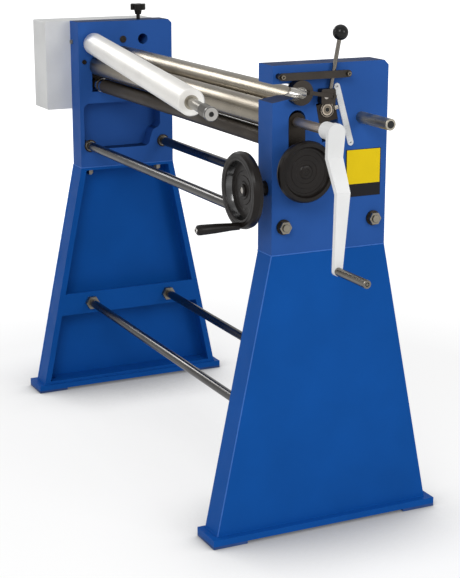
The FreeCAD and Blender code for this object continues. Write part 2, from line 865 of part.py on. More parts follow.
def make_upper_roll():
    """Swinging roll with its gear seat, its end journal and the threaded sleeve on it."""
    body = new_body("upper_roll")
    start = "pivot_out + head_thick + left_roll_clear"
    finish = "pivot_out + head_thick + inner_span - roll_clear"
    seat = finish + " - tail_seat"
    gear = "upper_gear_wide / 2"
    left = "-(yoke_gap + upper_gear_wide / 2 + yoke_plate + 4)"
    turn(body, [(left, "0"), (seat, "0"), (seat, "tail_journal_radius"),
                (finish, "tail_journal_radius"), (finish, "roll_radius - roll_bevel"),
                (finish + " - roll_bevel", "roll_radius"), (start + " + roll_bevel", "roll_radius"),
                (start, "roll_radius - roll_bevel"), (start, "swing_journal_radius"),
                (gear, "swing_journal_radius"), (gear, "journal_radius"),
                (left, "journal_radius")])
    keep(put(body, PIVOT, swung()))
    tail = "pivot_out + 2 * head_thick + inner_span + tail_long"
    sleeve_start = tail + " - tail_cap_long - grip_long"
    hole = tail + " - tail_hole_deep"
    journal = new_body("upper_roll_journal")
    turn(journal, [(seat, "0"), (hole + " - 1", "0"), (hole + " - 1", "sleeve_bore"),
                   (sleeve_start, "sleeve_bore"), (sleeve_start, "tail_journal_radius"),
                   (seat, "tail_journal_radius")])
    keep(put(journal, PIVOT, swung()))
    sleeve = new_body("upper_roll_sleeve")
    groove = tail + " - tail_cap_long"
    turn(sleeve, [(sleeve_start, "sleeve_bore"), (hole, "sleeve_bore"), (hole, "tail_hole_radius"),
                  (tail, "tail_hole_radius"), (tail, "tail_cap_radius - 1"),
                  (tail + " - 1", "tail_cap_radius"), (groove, "tail_cap_radius"),
                  (groove, "tail_journal_radius - 1"),
                  (groove + " - sleeve_groove", "tail_journal_radius - 1"),
                  (groove + " - sleeve_groove", "grip_radius"), (sleeve_start, "grip_radius")])
    keep(put(sleeve, PIVOT, swung()))


def make_gear(label, teeth, module, wide, bore, shrink=1.0):
    """Spur gear about X: a root disc and one straight flanked tooth, repeated round it."""
    body = new_body(label)
    pitch = "(%s) * (%s) / 2" % (module, teeth)
    root = "%s - 1.42 * (%s)" % (pitch, module)
    tip = "%s + %s * (%s)" % (pitch, shrink, module)
    circles = [("0", "0", root)]
    if bore:
        circles.append(("0", "0", bore))
    start = "-(%s) / 2" % wide
    add(body, "YZ", start, wide, (), circles)
    DOC.recompute()
    root_half = "0.88 * (%s)" % module
    tip_half = "0.22 * (%s)" % module
    outline = [("-(%s)" % root_half, "%s - 0.3 * (%s)" % (root, module)),
               (root_half, "%s - 0.3 * (%s)" % (root, module)),
               ("0.5 * (%s)" % module, pitch),
               (tip_half, tip), ("-(%s)" % tip_half, tip),
               ("-0.5 * (%s)" % module, pitch)]
    tooth = add(body, "YZ", start, wide, [outline])
    DOC.recompute()
    pattern(body, tooth, teeth)
    return body


def make_roll_gears():
    """The pair of wide pitched gears that turn the upper roll from the lower one."""
    upper = make_gear("upper_gear", "roll_gear_teeth", "roll_gear_module", "upper_gear_wide",
                      "journal_radius", 0.95)
    step = 180.0 / value("roll_gear_teeth")
    keep(put(upper, PIVOT, swung(step)))
    lower = make_gear("lower_gear", "roll_gear_teeth", "roll_gear_module", "lower_gear_wide",
                      "journal_radius", 0.95)
    keep(put(lower, ("pivot_x", "nip_front", "lower_axis")))


def make_yoke():
    """Swivel yoke that carries the upper roll's left end, its kingpin and its bracket."""
    gear_tip = "roll_gear_module * (roll_gear_teeth / 2 + 1)"
    plate_x = "-(yoke_gap + upper_gear_wide / 2 + yoke_plate)"
    arm_low = gear_tip + " + turn_clear"
    arm_high = gear_tip + " + turn_clear + yoke_arm"
    body = new_body("swivel_yoke")
    outline = rectangle("-yoke_half", "-yoke_half - yoke_foot", "yoke_half", arm_high)
    add(body, "YZ", plate_x, "yoke_plate", [outline], [("0", "0", "journal_radius + run_clear")])
    add(body, "XY", arm_low, "yoke_arm",
        [rectangle(plate_x, "-yoke_half", "kingpin_radius + kingpin_wall", "yoke_half")])
    cut(body, "XY", arm_low + " - 1", "yoke_arm + 2", (), [("0", "0", "kingpin_radius")])
    lean = Rotation(Vector(1, 0, 0), value("pin_lean"))
    swing = Rotation(Vector(0, 0, 1), -value("swing_angle"))
    keep(put(body, PIVOT, lean * swing))
    pin = new_body("kingpin")
    add(pin, "XY", arm_low, "yoke_arm + slide_clear + kingpin_bracket", (),
        [("0", "0", "kingpin_radius")])
    keep(put(pin, PIVOT, lean * swing))
    bracket = new_body("kingpin_bracket")
    bracket_low = arm_high + " + slide_clear"
    add(bracket, "XY", bracket_low, "kingpin_bracket",
        [rectangle("-kingpin_radius - kingpin_wall", "-yoke_half", "pivot_out", "yoke_half")],
        [("0", "0", "kingpin_radius + run_clear")])
    keep(put(bracket, PIVOT, lean))


def make_lower_roll():
    """Driven roll, its shaft running out to the crank on the right and the gear on the left."""
    body = new_body("lower_roll")
    end = "inner - roll_clear"
    left = "-(outer + pivot_out + lower_gear_wide / 2 + 4)"
    right = "outer + crank_stand + crank_hub_long + crank_arm_thick - crank_skin"
    profile = [(left, "0"), (right, "0"), (right, "journal_radius"), (end, "journal_radius"),
               (end, "roll_radius - roll_bevel"), (end + " - roll_bevel", "roll_radius"),
               ("-(%s - roll_bevel)" % end, "roll_radius"),
               ("-(%s)" % end, "roll_radius - roll_bevel"), ("-(%s)" % end, "journal_radius"),
               (left, "journal_radius")]
    turn(body, profile)
    return keep(put(body, ("0", "nip_front", "lower_axis")))


def make_rear_roll():
    """Bending roll in its slanted slides, with a boss on each journal end."""
    body = new_body("rear_roll")
    end = "inner - roll_clear"
    tip = "outer + slide_clear + rear_boss_long"
    profile = [("-(%s)" % tip, "0"), (tip, "0"), (tip, "rear_boss_radius"),
               ("outer + slide_clear", "rear_boss_radius"),
               ("outer + slide_clear", "rear_journal_radius"), (end, "rear_journal_radius"),
               (end, "roll_radius - roll_bevel"), (end + " - roll_bevel", "roll_radius"),
               ("-(%s - roll_bevel)" % end, "roll_radius"),
               ("-(%s)" % end, "roll_radius - roll_bevel"),
               ("-(%s)" % end, "rear_journal_radius"),
               ("-(outer + slide_clear)", "rear_journal_radius"),
               ("-(outer + slide_clear)", "rear_boss_radius"),
               ("-(%s)" % tip, "rear_boss_radius")]
    turn(body, profile)
    return keep(put(body, ("0", "rear_roll_y", "rear_roll_z")))


# ---------------------------------------------------------------- lower roll lift

def make_lower_blocks():
    """Slide blocks of the lower roll, arched like their slots."""
    blocks = []
    for side in (-1, 1):
        body = new_body("lower_block")
        start = mirrored_x(side, "inner + block_start")
        length = "head_thick - block_start"
        outline = rectangle("-block_half", "-block_bottom", "block_half", "0")
        add(body, "YZ", start, length, [outline], way=side)
        add(body, "YZ", start, length, (), [("0", "0", "block_half")], way=side)
        cut(body, "YZ", start, length, (), [("0", "0", "journal_radius + run_clear")], way=side)
        blocks.append(put(body, ("0", "nip_front", "lower_axis")))
    return group("lower_slide_blocks", blocks)


def make_lift_shaft():
    """Cross shaft under the lower roll with an eccentric below each slide block."""
    body = new_body("lift_shaft")
    gear_side = "inner + block_start - 0.5"
    end = "outer - lift_end_wall - 1"
    profile = [("-(%s)" % end, "0"), (end, "0"), (end, "lift_end_radius"),
               (gear_side, "lift_end_radius"), (gear_side, "lift_gear_seat"),
               ("inner + 2", "lift_gear_seat"), ("inner + 2", "lift_shaft_radius"),
               ("-(inner - 1)", "lift_shaft_radius"), ("-(inner - 1)", "lift_end_radius"),
               ("-(%s)" % end, "lift_end_radius")]
    turn(body, profile)
    for side in (-1, 1):
        start = mirrored_x(side, "inner + block_start + 0.5")
        add(body, "YZ", start, "eccentric_end - block_start - 0.5", (),
            [("eccentric_throw", "0", "eccentric_radius")], way=side)
    keep(put(body, ("0", "nip_front", "lift_axis")))
    gear = make_gear("lift_gear", "lift_gear_teeth", "lift_module", "lift_gear_wide",
                     "lift_gear_seat", 0.9)
    keep(put(gear, ("inner + lift_gear_start + lift_gear_wide / 2", "nip_front", "lift_axis")))
    collars = []
    for start in ("-(inner - 14)", "-(inner - 40)"):
        collars.append(ring("collar", "lift_collar_radius", "lift_shaft_radius", "lift_collar_long",
                            (start, "nip_front", "lift_axis")))
    group("lift_shaft_collars", collars)


def make_lift_wheel():
    """Stub shaft with the lift pinion, and the dished handwheel on its outer end."""
    stub = new_body("lift_stub_shaft")
    tip = "outer + low_wheel_stand + low_wheel_hub - 1"
    turn(stub, [("inner + 2", "0"), (tip, "0"), (tip, "stub_radius"), ("inner + 2", "stub_radius")])
    keep(put(stub, ("0", "nip_front", "stub_axis")))
    pinion = make_gear("lift_pinion", "lift_pinion_teeth", "lift_module", "lift_gear_wide",
                       "stub_radius", 0.9)
    half_tooth = 180.0 / value("lift_pinion_teeth")
    phase = 180 + (0 if round(value("lift_gear_teeth")) % 2 else half_tooth)
    facing = Rotation(Vector(1, 0, 0), phase - 180)
    keep(put(pinion, ("inner + lift_gear_start + lift_gear_wide / 2", "nip_front", "stub_axis"), facing))
    wheel = new_body("lower_handwheel")
    turn(wheel, wheel_profile("low_wheel_radius", "low_wheel_deep", "stub_radius",
                              "low_wheel_hub"))
    keep(put(wheel, ("outer + low_wheel_stand", "nip_front", "stub_axis")))


def wheel_profile(radius, deep, bore, hub):
    """Half section of a dished handwheel: low hub, flat web, sloping dish and round rim."""
    return [("0", bore), (hub, bore), (hub, "%s + 4" % bore),
            ("(%s) - 2" % hub, "%s + 6" % bore), ("0.3 * (%s)" % deep, "%s + 7" % bore),
            ("0.3 * (%s)" % deep, "0.6 * (%s)" % radius),
            ("0.8 * (%s)" % deep, "%s - 14" % radius),
            (deep, "%s - 11.5" % radius), (deep, "%s - 4.5" % radius),
            ("0.86 * (%s)" % deep, "%s - 1.2" % radius), ("0.65 * (%s)" % deep, radius),
            ("0.4 * (%s)" % deep, "%s - 2" % radius), ("0.3 * (%s)" % deep, "%s - 8" % radius),
            ("0.12 * (%s)" % deep, "0.6 * (%s)" % radius), ("0.12 * (%s)" % deep, "%s + 12" % bore),
            ("0", "%s + 9" % bore)]


# ---------------------------------------------------------------- rear roll slide

def make_rear_blocks():
    """Slanted slide blocks of the rear roll, each with its rack below."""
    tilt = Rotation(Vector(1, 0, 0), value("rear_tilt"))
    blocks = []
    for side, rack_start in ((-1, "left_rack_start"), (1, "right_rack_start")):
        body = new_body("rear_block")
        start = mirrored_x(side, "inner + slide_clear")
        outline = rectangle("-rear_block_half", "-rear_block_low", "rear_block_half",
                            "rear_block_top")
        add(body, "YZ", start, "head_thick - slide_clear", [outline], way=side)
        stem = mirrored_x(side, "inner + " + rack_start)
        root = "rack_offset - 1.2 * rack_module"
        corners = [("-rack_back", "-rear_block_low"), ("-rack_back", "rack_low"),
                   (root, "rack_low")]
        count = int(round(value("rack_teeth")))
        for tooth in range(count):
            middle = "rack_low + %g * rack_pitch" % (tooth + 0.5)
            corners.append((root, "%s - 0.85 * rack_module" % middle))
            corners.append(("rack_offset + 0.9 * rack_module", "%s - 0.25 * rack_module" % middle))
            corners.append(("rack_offset + 0.9 * rack_module", "%s + 0.25 * rack_module" % middle))
            corners.append((root, "%s + 0.85 * rack_module" % middle))
        corners.append((root, "-rear_block_low"))
        add(body, "YZ", stem, "rack_wide", [corners], way=side)
        cut(body, "YZ", start, "head_thick - slide_clear", (),
            [("0", "0", "rear_journal_radius + run_clear")], way=side)
        blocks.append(put(body, ("0", "rear_roll_y", "rear_roll_z"), tilt))
    return group("rear_slide_blocks", blocks)


def make_cross_shaft():
    """Rear cross shaft with a rack pinion in each head and the worm wheel on the right."""
    body = new_body("rear_cross_shaft")
    right = "inner + right_rack_start + rack_wide + 0.5"
    turn(body, [("-(inner + left_rack_start + rack_wide)", "0"), ("outer - cross_end_wall - 1", "0"),
                ("outer - cross_end_wall - 1", "cross_end_radius"), (right, "cross_end_radius"),
                (right, "cross_shaft_radius"),
                ("-(inner + left_rack_start + rack_wide)", "cross_shaft_radius")])
    place = ("0", "cross_y", "cross_z")
    keep(put(body, place))
    pinions = []
    turn_to_gap = Rotation(Vector(1, 0, 0), value("rear_tilt"))
    for side, start in ((-1, "left_rack_start"), (1, "right_rack_start")):
        pinion = make_gear("rack_pinion", "rack_pinion_teeth", "rack_module", "rack_wide",
                           "cross_shaft_radius", 0.9)
        middle = mirrored_x(side, "inner + %s + rack_wide / 2" % start)
        pinions.append(put(pinion, (middle, "cross_y", "cross_z"), turn_to_gap))
    group("rack_pinions", pinions)
    wheel = make_gear("worm_wheel", "worm_wheel_teeth", "worm_wheel_module", "worm_wheel_wide",
                      "cross_shaft_radius")
    keep(put(wheel, ("worm_place", "cross_y", "cross_z")))


def make_worm_shaft():
    """Worm shaft running front to rear in the right head, with its front handwheel."""
    shaft = new_body("worm_shaft")
    hub_end = "front_wheel_boss - 1 - (front_rim_y + front_wheel_deep)"
    start = "-(pocket_rear + 14)"
    middle = "-cross_y"
    turn(shaft, [(start, "0"), (hub_end, "0"), (hub_end, "worm_shaft_radius"),
                 (middle + " + worm_long / 2", "worm_shaft_radius"),
                 (middle + " + worm_long / 2", "worm_radius - worm_wheel_module / 4"),
                 (middle + " - worm_long / 2", "worm_radius - worm_wheel_module / 4"),
                 (middle + " - worm_long / 2", "worm_shaft_radius"),
                 (start, "worm_shaft_radius")])
    keep(put(shaft, ("worm_place", "0", "worm_height"), ALONG_FRONT))
    bush = ring("worm_bush", "worm_shaft_radius + worm_bush_wall",
                "worm_shaft_radius + run_clear", "worm_bush_long",
                ("worm_place", "-head_deep / 2", "worm_height"), ALONG_FRONT)
    keep(bush)
    wheel = new_body("front_handwheel")
    turn(wheel, wheel_profile("front_wheel_radius", "front_wheel_deep", "worm_shaft_radius",
                              "front_wheel_boss"))
    keep(put(wheel, ("worm_place", "front_rim_y + front_wheel_deep", "worm_height"), ALONG_FRONT))
    angle = "front_handle_angle"
    place = ("worm_place + front_handle_pitch * sin(%s)" % angle, "front_rim_y",
             "worm_height - front_handle_pitch * cos(%s)" % angle)
    spindle = rod("front_handle_spindle", "front_handle_pin",
                  "front_handle_long - front_handle_cap", place, ALONG_FRONT)
    keep(spindle)
    handle = new_body("front_handle")
    length = "front_handle_long"
    bore = "front_handle_pin + run_clear"
    cap = "front_handle_long - front_handle_cap"
    turn(handle, [("0.5", bore), (cap, bore), (cap, "0"),
                  (length, "0"), (length, "front_handle_large - front_handle_pin"),
                  ("%s - 3" % length, "front_handle_large - 0.6"),
                  ("%s - 9" % length, "front_handle_large"),
                  ("0.55 * %s" % length, "front_handle_large - 1"),
                  ("0.2 * %s" % length, "front_handle_small"), ("2", "front_handle_small"),
                  ("0.5", "front_handle_small - 1.5")])
    keep(put(handle, place, ALONG_FRONT))


# ---------------------------------------------------------------- latch

def make_latch_ring():
    """Ring with a flared front mouth that takes and holds the upper roll's journal."""
    body = new_body("latch_ring")
    add(body, "YZ", "0", "latch_thick", (), [("0", "0", "latch_radius")])
    cut(body, "YZ", "0", "latch_thick", (), [("0", "0", "latch_bore")])
    mouth = [("0", "-latch_bore"), ("0", "latch_bore"), ("-latch_radius - 1", "latch_bore + 1"),
             ("-latch_radius - 1", "-latch_bore - latch_mouth_drop")]
    cut(body, "YZ", "0", "latch_thick", [mouth])
    place = ("latch_start", "nip_front", "upper_axis")
    add(body, "YZ", "latch_thick", "slide_clear + link_thick + 2", (),
        [("latch_crank", "0", "latch_pin_radius")])
    keep(put(body, place))


def make_link():
    """Flat link between the ring and the lever block, in front of both."""
    body = new_body("latch_link")
    far_y = "lever_y - nip_front"
    far_z = "lever_z - upper_axis"
    length = "sqrt((%s)^2 + (%s)^2)" % (far_y, far_z)
    half = "link_wide / 2"
    add(body, "YZ", "0", "link_thick", [rectangle("0", "-" + half, length, half)])
    for end in ("0", length):
        add(body, "YZ", "0", "link_thick", (), [(end, "0", "link_wide / 2 + 1")])
    for end in ("0", length):
        cut(body, "YZ", "0", "link_thick", (), [(end, "0", "latch_pin_radius + run_clear")])
    angle = math.degrees(math.atan2(value(far_z), value(far_y)))
    keep(put(body, ("latch_start + latch_thick + slide_clear", "nip_front + latch_crank",
                    "upper_axis"), Rotation(Vector(1, 0, 0), angle)))


def bored(label, base, tool):
    """Cut a rod's own seat into the piece that holds it."""
    base.Label = label + "_blank"
    result = DOC.addObject("Part::Cut", unique(label + "_bored"))
    result.Label = label
    result.Base = base
    result.Tool = tool
    return keep(result)


def make_lever():
    """Lever block on its pivot pin, with its rod and ball knob."""
    block = new_body("lever_block")
    half_wide = "lever_block_wide / 2"
    half_high = "lever_block_high / 2"
    outline = rectangle("lever_block_shift - " + half_wide, "-" + half_high,
                        "lever_block_shift + " + half_wide, half_high)
    add(block, "YZ", "0", "lever_thick", [outline], corner="4")
    cut(block, "YZ", "0", "lever_thick", (), [("0", "0", "lever_pin_radius + run_clear")])
    add(block, "YZ", "lever_thick", "slide_clear + link_thick + 2", (),
        [("latch_crank", "0", "latch_pin_radius")])
    put(block, ("lever_start", "lever_y", "lever_z"))
    keep(rod("lever_pivot_pin", "lever_pin_radius", "lever_pin_seat + latch_thick",
             ("outer - lever_pin_seat", "lever_y", "lever_z")))
    lean = Rotation(Vector(1, 0, 0), -value("lever_rod_lean"))
    place = ("lever_start + lever_rod_radius + 0.1", "lever_y + lever_rod_out",
             "lever_z + %s - lever_rod_seat" % half_high)
    length = "lever_rod_long - ball_radius / 2"
    keep(rod("lever_rod", "lever_rod_radius", length, place, lean * ALONG_Z))
    seat = rod("lever_rod_seat", "lever_rod_radius", length, place, lean * ALONG_Z)
    bored("lever_block", block, seat)
    ball = DOC.addObject("Part::Sphere", unique("ball"))
    ball.setExpression("Radius", bound("ball_radius"))
    put(ball, (place[0], "%s + lever_rod_long * sin(lever_rod_lean)" % place[1],
               "%s + lever_rod_long * cos(lever_rod_lean)" % place[2]))
    bored("ball_knob", ball, rod("ball_seat", "lever_rod_radius", length, place, lean * ALONG_Z))


def make_strap():
    """Guard strap above the latch, on two spacers."""
    body = new_body("latch_strap")
    middle = "strap_high / 2"
    outline = rectangle("strap_front + " + middle, "strap_base", "strap_rear - " + middle,
                        "strap_base + strap_high")
    add(body, "YZ", "strap_start", "strap_thick", [outline])
    height = "strap_base + " + middle
    ends = ("strap_front + " + middle, "strap_rear - " + middle)
    for end in ends:
        add(body, "YZ", "strap_start", "strap_thick", (), [(end, height, middle)])
    keep(put(body))
    spacers = []
    screws = []
    for end in ends:
        spacers.append(rod("strap_spacer", "spacer_radius", "strap_stand", ("outer", end, height)))
        screws.append(rod("strap_screw", "strap_screw_radius", "strap_screw_high",
                          ("strap_start + strap_thick", end, height)))
    group("strap_spacers", spacers)
    group("strap_screws", screws)


# ---------------------------------------------------------------- scale, peg and crank

def make_scale():
    """Scale strip beside the rear slide, its pointer and the steel peg behind."""
    strip = new_body("scale_strip")
    half = "scale_wide / 2"
    run = "scale_long / 2 - " + half
    add(strip, "YZ", "0", "scale_thick", [rectangle("-" + half, "-(%s)" % run, half, run)])
    for way in (-1, 1):
        add(strip, "YZ", "0", "scale_thick", (), [("0", "%d * (%s)" % (way, run), half)])
    tilt = Rotation(Vector(1, 0, 0), value("scale_tilt"))
    keep(put(strip, ("outer", "scale_y", "scale_z"), tilt))
    pointer = new_body("scale_pointer")
    half_high = "pointer_high / 2"
    add(pointer, "YZ", "scale_thick + slide_clear", "pointer_thick",
        [rectangle("rear_boss_radius + 1", "-" + half_high, "pointer_reach", half_high)])
    add(pointer, "YZ", "0", "scale_thick + slide_clear",
        [rectangle("rear_boss_radius + 1", "-" + half_high, "rear_block_half - 1", half_high)])
    slide = Rotation(Vector(1, 0, 0), value("rear_tilt"))
    keep(put(pointer, ("outer", "rear_roll_y", "rear_roll_z"), slide))
    peg = new_body("steel_peg")
    turn(peg, [("1 - peg_seat", "0"), ("peg_long", "0"), ("peg_long", "peg_radius - 1"),
               ("peg_long - 1", "peg_radius"), ("0", "peg_radius"), ("0", "stub_radius"),
               ("1 - peg_seat", "stub_radius")])
    keep(put(peg, ("outer", "peg_y", "peg_z")))


def make_crank():
    """Jogged crank arm on its hub, with a turning steel grip."""
    hang = Rotation(Vector(1, 0, 0), -value("crank_hang"))
    place = ("outer + crank_stand", "nip_front", "lower_axis")
    hub = new_body("crank_hub")
    turn(hub, [("0", "journal_radius"), ("crank_hub_long", "journal_radius"),
               ("crank_hub_long", "crank_hub_radius"), ("1.5", "crank_hub_radius"),
               ("0", "crank_hub_radius - 1.5")])
    keep(put(hub, place, hang))
    arm = new_body("crank_arm")
    near = "crank_hub_long"
    far = "crank_hub_long + crank_arm_thick"
    low = "-crank_radius"
    profile = [(near, "0"), (near, "-crank_jog_start"), (near + " + crank_jog", "-crank_jog_end"),
               (near + " + crank_jog", low), (far + " + crank_jog", low),
               (far + " + crank_jog", "crank_bend_shift - crank_jog_end"),
               (far, "crank_bend_shift - crank_jog_start"),
               (far, "0")]
    add(arm, "XZ", "-crank_arm_top / 2", "crank_arm_top", [profile])
    for way in (-1, 1):
        edge = [("%d * crank_arm_top / 2" % way, "0"),
                ("%d * (crank_arm_top / 2 + 5)" % way, "0"),
                ("%d * (crank_arm_top / 2 + 5)" % way, low + " - 5"),
                ("%d * crank_arm_end / 2" % way, low + " - 5"),
                ("%d * crank_arm_end / 2" % way, low)]
        cut(arm, "YZ", "0", "crank_hub_long + crank_arm_thick + crank_jog + 5", [edge])
    add(arm, "YZ", near, "crank_arm_thick", (), [("0", "0", "crank_arm_top / 2")])
    add(arm, "YZ", near + " + crank_jog", "crank_arm_thick", (), [("0", low, "crank_arm_end / 2")])
    cut(arm, "YZ", "0", "crank_hub_long + crank_arm_thick - crank_skin", (),
        [("0", "0", "journal_radius")])
    keep(put(arm, place, hang))
    grip_start = "outer + crank_stand + crank_hub_long + crank_arm_thick + crank_jog"
    grip_y = "nip_front - crank_radius * sin(crank_hang)"
    grip_z = "lower_axis - crank_radius * cos(crank_hang)"
    spindle = rod("crank_grip_pin", "crank_grip_bore", "crank_grip_long - 2",
                  (grip_start, grip_y, grip_z))
    keep(spindle)
    grip = new_body("crank_grip")
    bore = "crank_grip_bore + run_clear"
    length = "crank_grip_long"
    turn(grip, [("slide_clear", bore), ("%s - 1.5" % length, bore), ("%s - 1.5" % length, "0"),
                (length, "0"), (length, "crank_grip_radius - 1"),
                ("%s - 1" % length, "crank_grip_radius"), ("slide_clear", "crank_grip_radius")])
    keep(put(grip, (grip_start, grip_y, grip_z)))


# ---------------------------------------------------------------- gear cover and knob

def make_cover():
    """Sheet metal cover of the roll gears, on four posts from the left head."""
    body = new_body("gear_cover")
    outline = rectangle("cover_front", "cover_base", "cover_rear", "cover_top")
    add(body, "YZ", "-outer", "cover_deep", [outline], way=-1, corner="cover_corner")
    room = rectangle("cover_front + cover_sheet", "cover_base + cover_sheet",
                     "cover_rear - cover_sheet", "cover_top - cover_sheet")
    cut(body, "YZ", "-outer - cover_sheet", "cover_deep - 2 * cover_sheet", [room], way=-1)
    mouth = rectangle("-head_deep / 2 + 6", "cover_base + cover_sheet", "cover_rear - cover_sheet",
                      "cover_top - cover_sheet")
    cut(body, "YZ", "-outer", "cover_sheet", [mouth], way=-1)
    screw_holes = []
    for row in ("post_front", "post_rear"):
        for height in ("post_low", "post_high"):
            screw_holes.append((row, height, "cover_screw_radius"))
    cut(body, "YZ", "-outer - cover_deep", "cover_sheet", (), screw_holes)
    keep(put(body))
    posts = []
    screws = []
    for row, height, _ in screw_holes:
        posts.append(rod("cover_post", "post_radius", "cover_deep - cover_sheet",
                         ("-(outer + cover_deep - cover_sheet)", row, height)))
        screw = new_body("cover_screw")
        shank = "cover_screw_radius - 0.1"
        turn(screw, [("0", "0"), ("cover_sheet", "0"), ("cover_sheet", shank), ("0", shank)])
        add(screw, "YZ", "0", "cover_screw_high", (), [("0", "0", "cover_screw_head")], way=-1)
        screws.append(put(screw, ("-(outer + cover_deep)", row, height)))
    group("cover_posts", posts)
    group("cover_screws", screws)


def make_knob():
    """Star knob whose screw clamps a rod in the left head's cross hole."""
    body = new_body("star_knob")
    base = "-(head_top - rod_hole_z - rod_hole_radius) + 1"
    neck = "knob_lift"
    head = "knob_lift + knob_neck_long"
    turn(body, [(base, "0"), (head + " + knob_thick - 4", "0"),
                (head + " + knob_thick - 4", "knob_radius - 7"), (head, "knob_radius - 7"),
                (head, "knob_neck_radius"), (neck, "knob_neck_radius - 2"),
                (neck, "knob_stem_radius"), (base, "knob_stem_radius")])
    DOC.recompute()
    lobe = add(body, "YZ", head, "knob_thick", (), [("knob_radius - knob_lobe", "0", "knob_lobe")])
    DOC.recompute()
    pattern(body, lobe, "6")
    add(body, "YZ", head, "knob_thick", (), [("0", "0", "knob_radius - 6")])
    keep(put(body, ("-inner - head_thick / 2", "rod_hole_y", "head_top"), ALONG_Z))


# ---------------------------------------------------------------- build and write

def check_and_write():
    """Refuse a failed feature or a bad solid, then write one STEP file per node."""
    DOC.recompute()
    for item in DOC.Objects:
        if "Invalid" in item.State or "Error" in item.State:
            raise RuntimeError("%s (%s) is %s" % (item.Label, item.Name, item.State))
    os.makedirs("parts", exist_ok=True)
    for item in NODES:
        shape = item.Shape
        if shape.isNull() or not shape.isValid() or not shape.Solids:
            raise RuntimeError("%s has no valid solid" % item.Label)
        shape.exportStep(os.path.join("parts", item.Label + ".step"))
        print("%-22s %2d solids %10.0f mm3" % (item.Label, len(shape.Solids), shape.Volume))


def main():
    fill_sheet()
    make_leg("right_leg", 1)
    make_leg("left_leg", -1)
    make_foot_plate("right_foot_plate", 1)
    make_foot_plate("left_foot_plate", -1)
    make_soles()
    make_right_head()
    make_left_head()
    make_head_bolts()
    make_tie_rods()
    make_upper_roll()
    make_roll_gears()
    make_yoke()
    make_lower_roll()
    make_rear_roll()
    make_lower_blocks()
    make_lift_shaft()
    make_lift_wheel()
    make_rear_blocks()
    make_cross_shaft()
    make_worm_shaft()
    make_latch_ring()
    make_link()
    make_lever()
    make_strap()
    make_scale()
    make_crank()
    make_cover()
    make_knob()
    check_and_write()


main()
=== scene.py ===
"""Looks of the slip roll machine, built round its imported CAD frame.

X runs along the rolls towards the crank stand, Y from the front to the rear, and Z is up from
the floor. All sizes are in metres.
"""
import math
import random

import bmesh
import bpy
from mathutils import Matrix, Vector


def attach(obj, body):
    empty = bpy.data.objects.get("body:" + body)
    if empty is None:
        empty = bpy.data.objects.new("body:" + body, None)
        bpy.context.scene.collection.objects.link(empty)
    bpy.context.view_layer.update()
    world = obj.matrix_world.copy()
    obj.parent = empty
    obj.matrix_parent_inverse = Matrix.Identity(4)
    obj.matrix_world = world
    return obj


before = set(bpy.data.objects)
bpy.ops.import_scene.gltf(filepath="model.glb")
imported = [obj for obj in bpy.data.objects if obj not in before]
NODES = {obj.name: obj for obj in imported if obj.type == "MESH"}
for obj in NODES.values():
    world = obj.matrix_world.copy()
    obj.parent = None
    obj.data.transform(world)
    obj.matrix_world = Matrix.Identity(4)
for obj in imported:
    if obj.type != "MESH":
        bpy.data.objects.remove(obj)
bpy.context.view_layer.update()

# Places and sizes of the CAD part that the pieces below seat on.
INNER = 0.530            # inner face of each head
OUTER = 0.592            # outer face of each head
HEAD_THICK = OUTER - INNER
HEAD_HALF = 0.135        # half the depth of a head
HEAD_BASE = 0.622        # where a head stands on its leg
LEG_BASE = 0.020         # where a leg stands on its foot plate
LEG_HALF = 0.259         # half the depth of a leg's foot
TIE_HEIGHT = 0.681
TIE_ROWS = {"front": -0.108, "rear": 0.105}
STUD_PAST = 0.016        # how far a tie rod's stud stands out of its head
NIP_Y = -0.0787          # upright plane of the upper and the lower roll
UPPER_Z = 0.957
LOWER_Z = 0.896
LIFT_SHAFT_Z = 0.846
REAR_ROLL_Y = -0.0105
REAR_ROLL_Z = 0.9173
WORM_X = 0.561
WORM_Z = 0.759
FRONT_WHEEL_BACK = -0.164
FRONT_WHEEL_FRONT = FRONT_WHEEL_BACK - 0.034

# Directions, and the sign of X on each side.
TO_RIGHT = (1, 0, 0)     # from the gear stand to the crank stand
TO_FRONT = (0, -1, 0)
SIDES = {"right": 1, "left": -1}


# ---------------------------------------------------------------- shader nodes

def new_material(name, colour, metallic, roughness, **sockets):
    """Principled material with its constant values set on the shader itself."""
    mat = bpy.data.materials.new(name)
    mat.use_nodes = True
    shader = mat.node_tree.nodes["Principled BSDF"]
    shader.inputs["Base Color"].default_value = (*colour, 1)
    shader.inputs["Metallic"].default_value = metallic
    shader.inputs["Roughness"].default_value = roughness
    for socket, number in sockets.items():
        shader.inputs[socket.replace("_", " ")].default_value = number
    return mat, mat.node_tree, shader


def noise(tree, scale, detail=3.0, stretch=(1, 1, 1)):
    """Noise in object space, stretched by a factor for each axis."""
    place = tree.nodes.new("ShaderNodeTexCoord")
    mapping = tree.nodes.new("ShaderNodeMapping")
    mapping.inputs["Scale"].default_value = stretch
    texture = tree.nodes.new("ShaderNodeTexNoise")
    texture.inputs["Scale"].default_value = scale
    texture.inputs["Detail"].default_value = detail
    tree.links.new(place.outputs["Object"], mapping.inputs["Vector"])
    tree.links.new(mapping.outputs["Vector"], texture.inputs["Vector"])
    return texture.outputs["Fac"]


def spread(tree, source, low, high, start=0.3, end=0.7):
    """Map the part of a signal from start to end onto the numbers from low to high."""
    ramp = tree.nodes.new("ShaderNodeMapRange")
    ramp.inputs["From Min"].default_value = start
    ramp.inputs["From Max"].default_value = end
    ramp.inputs["To Min"].default_value = low
    ramp.inputs["To Max"].default_value = high
    tree.links.new(source, ramp.inputs["Value"])
    return ramp.outputs["Result"]


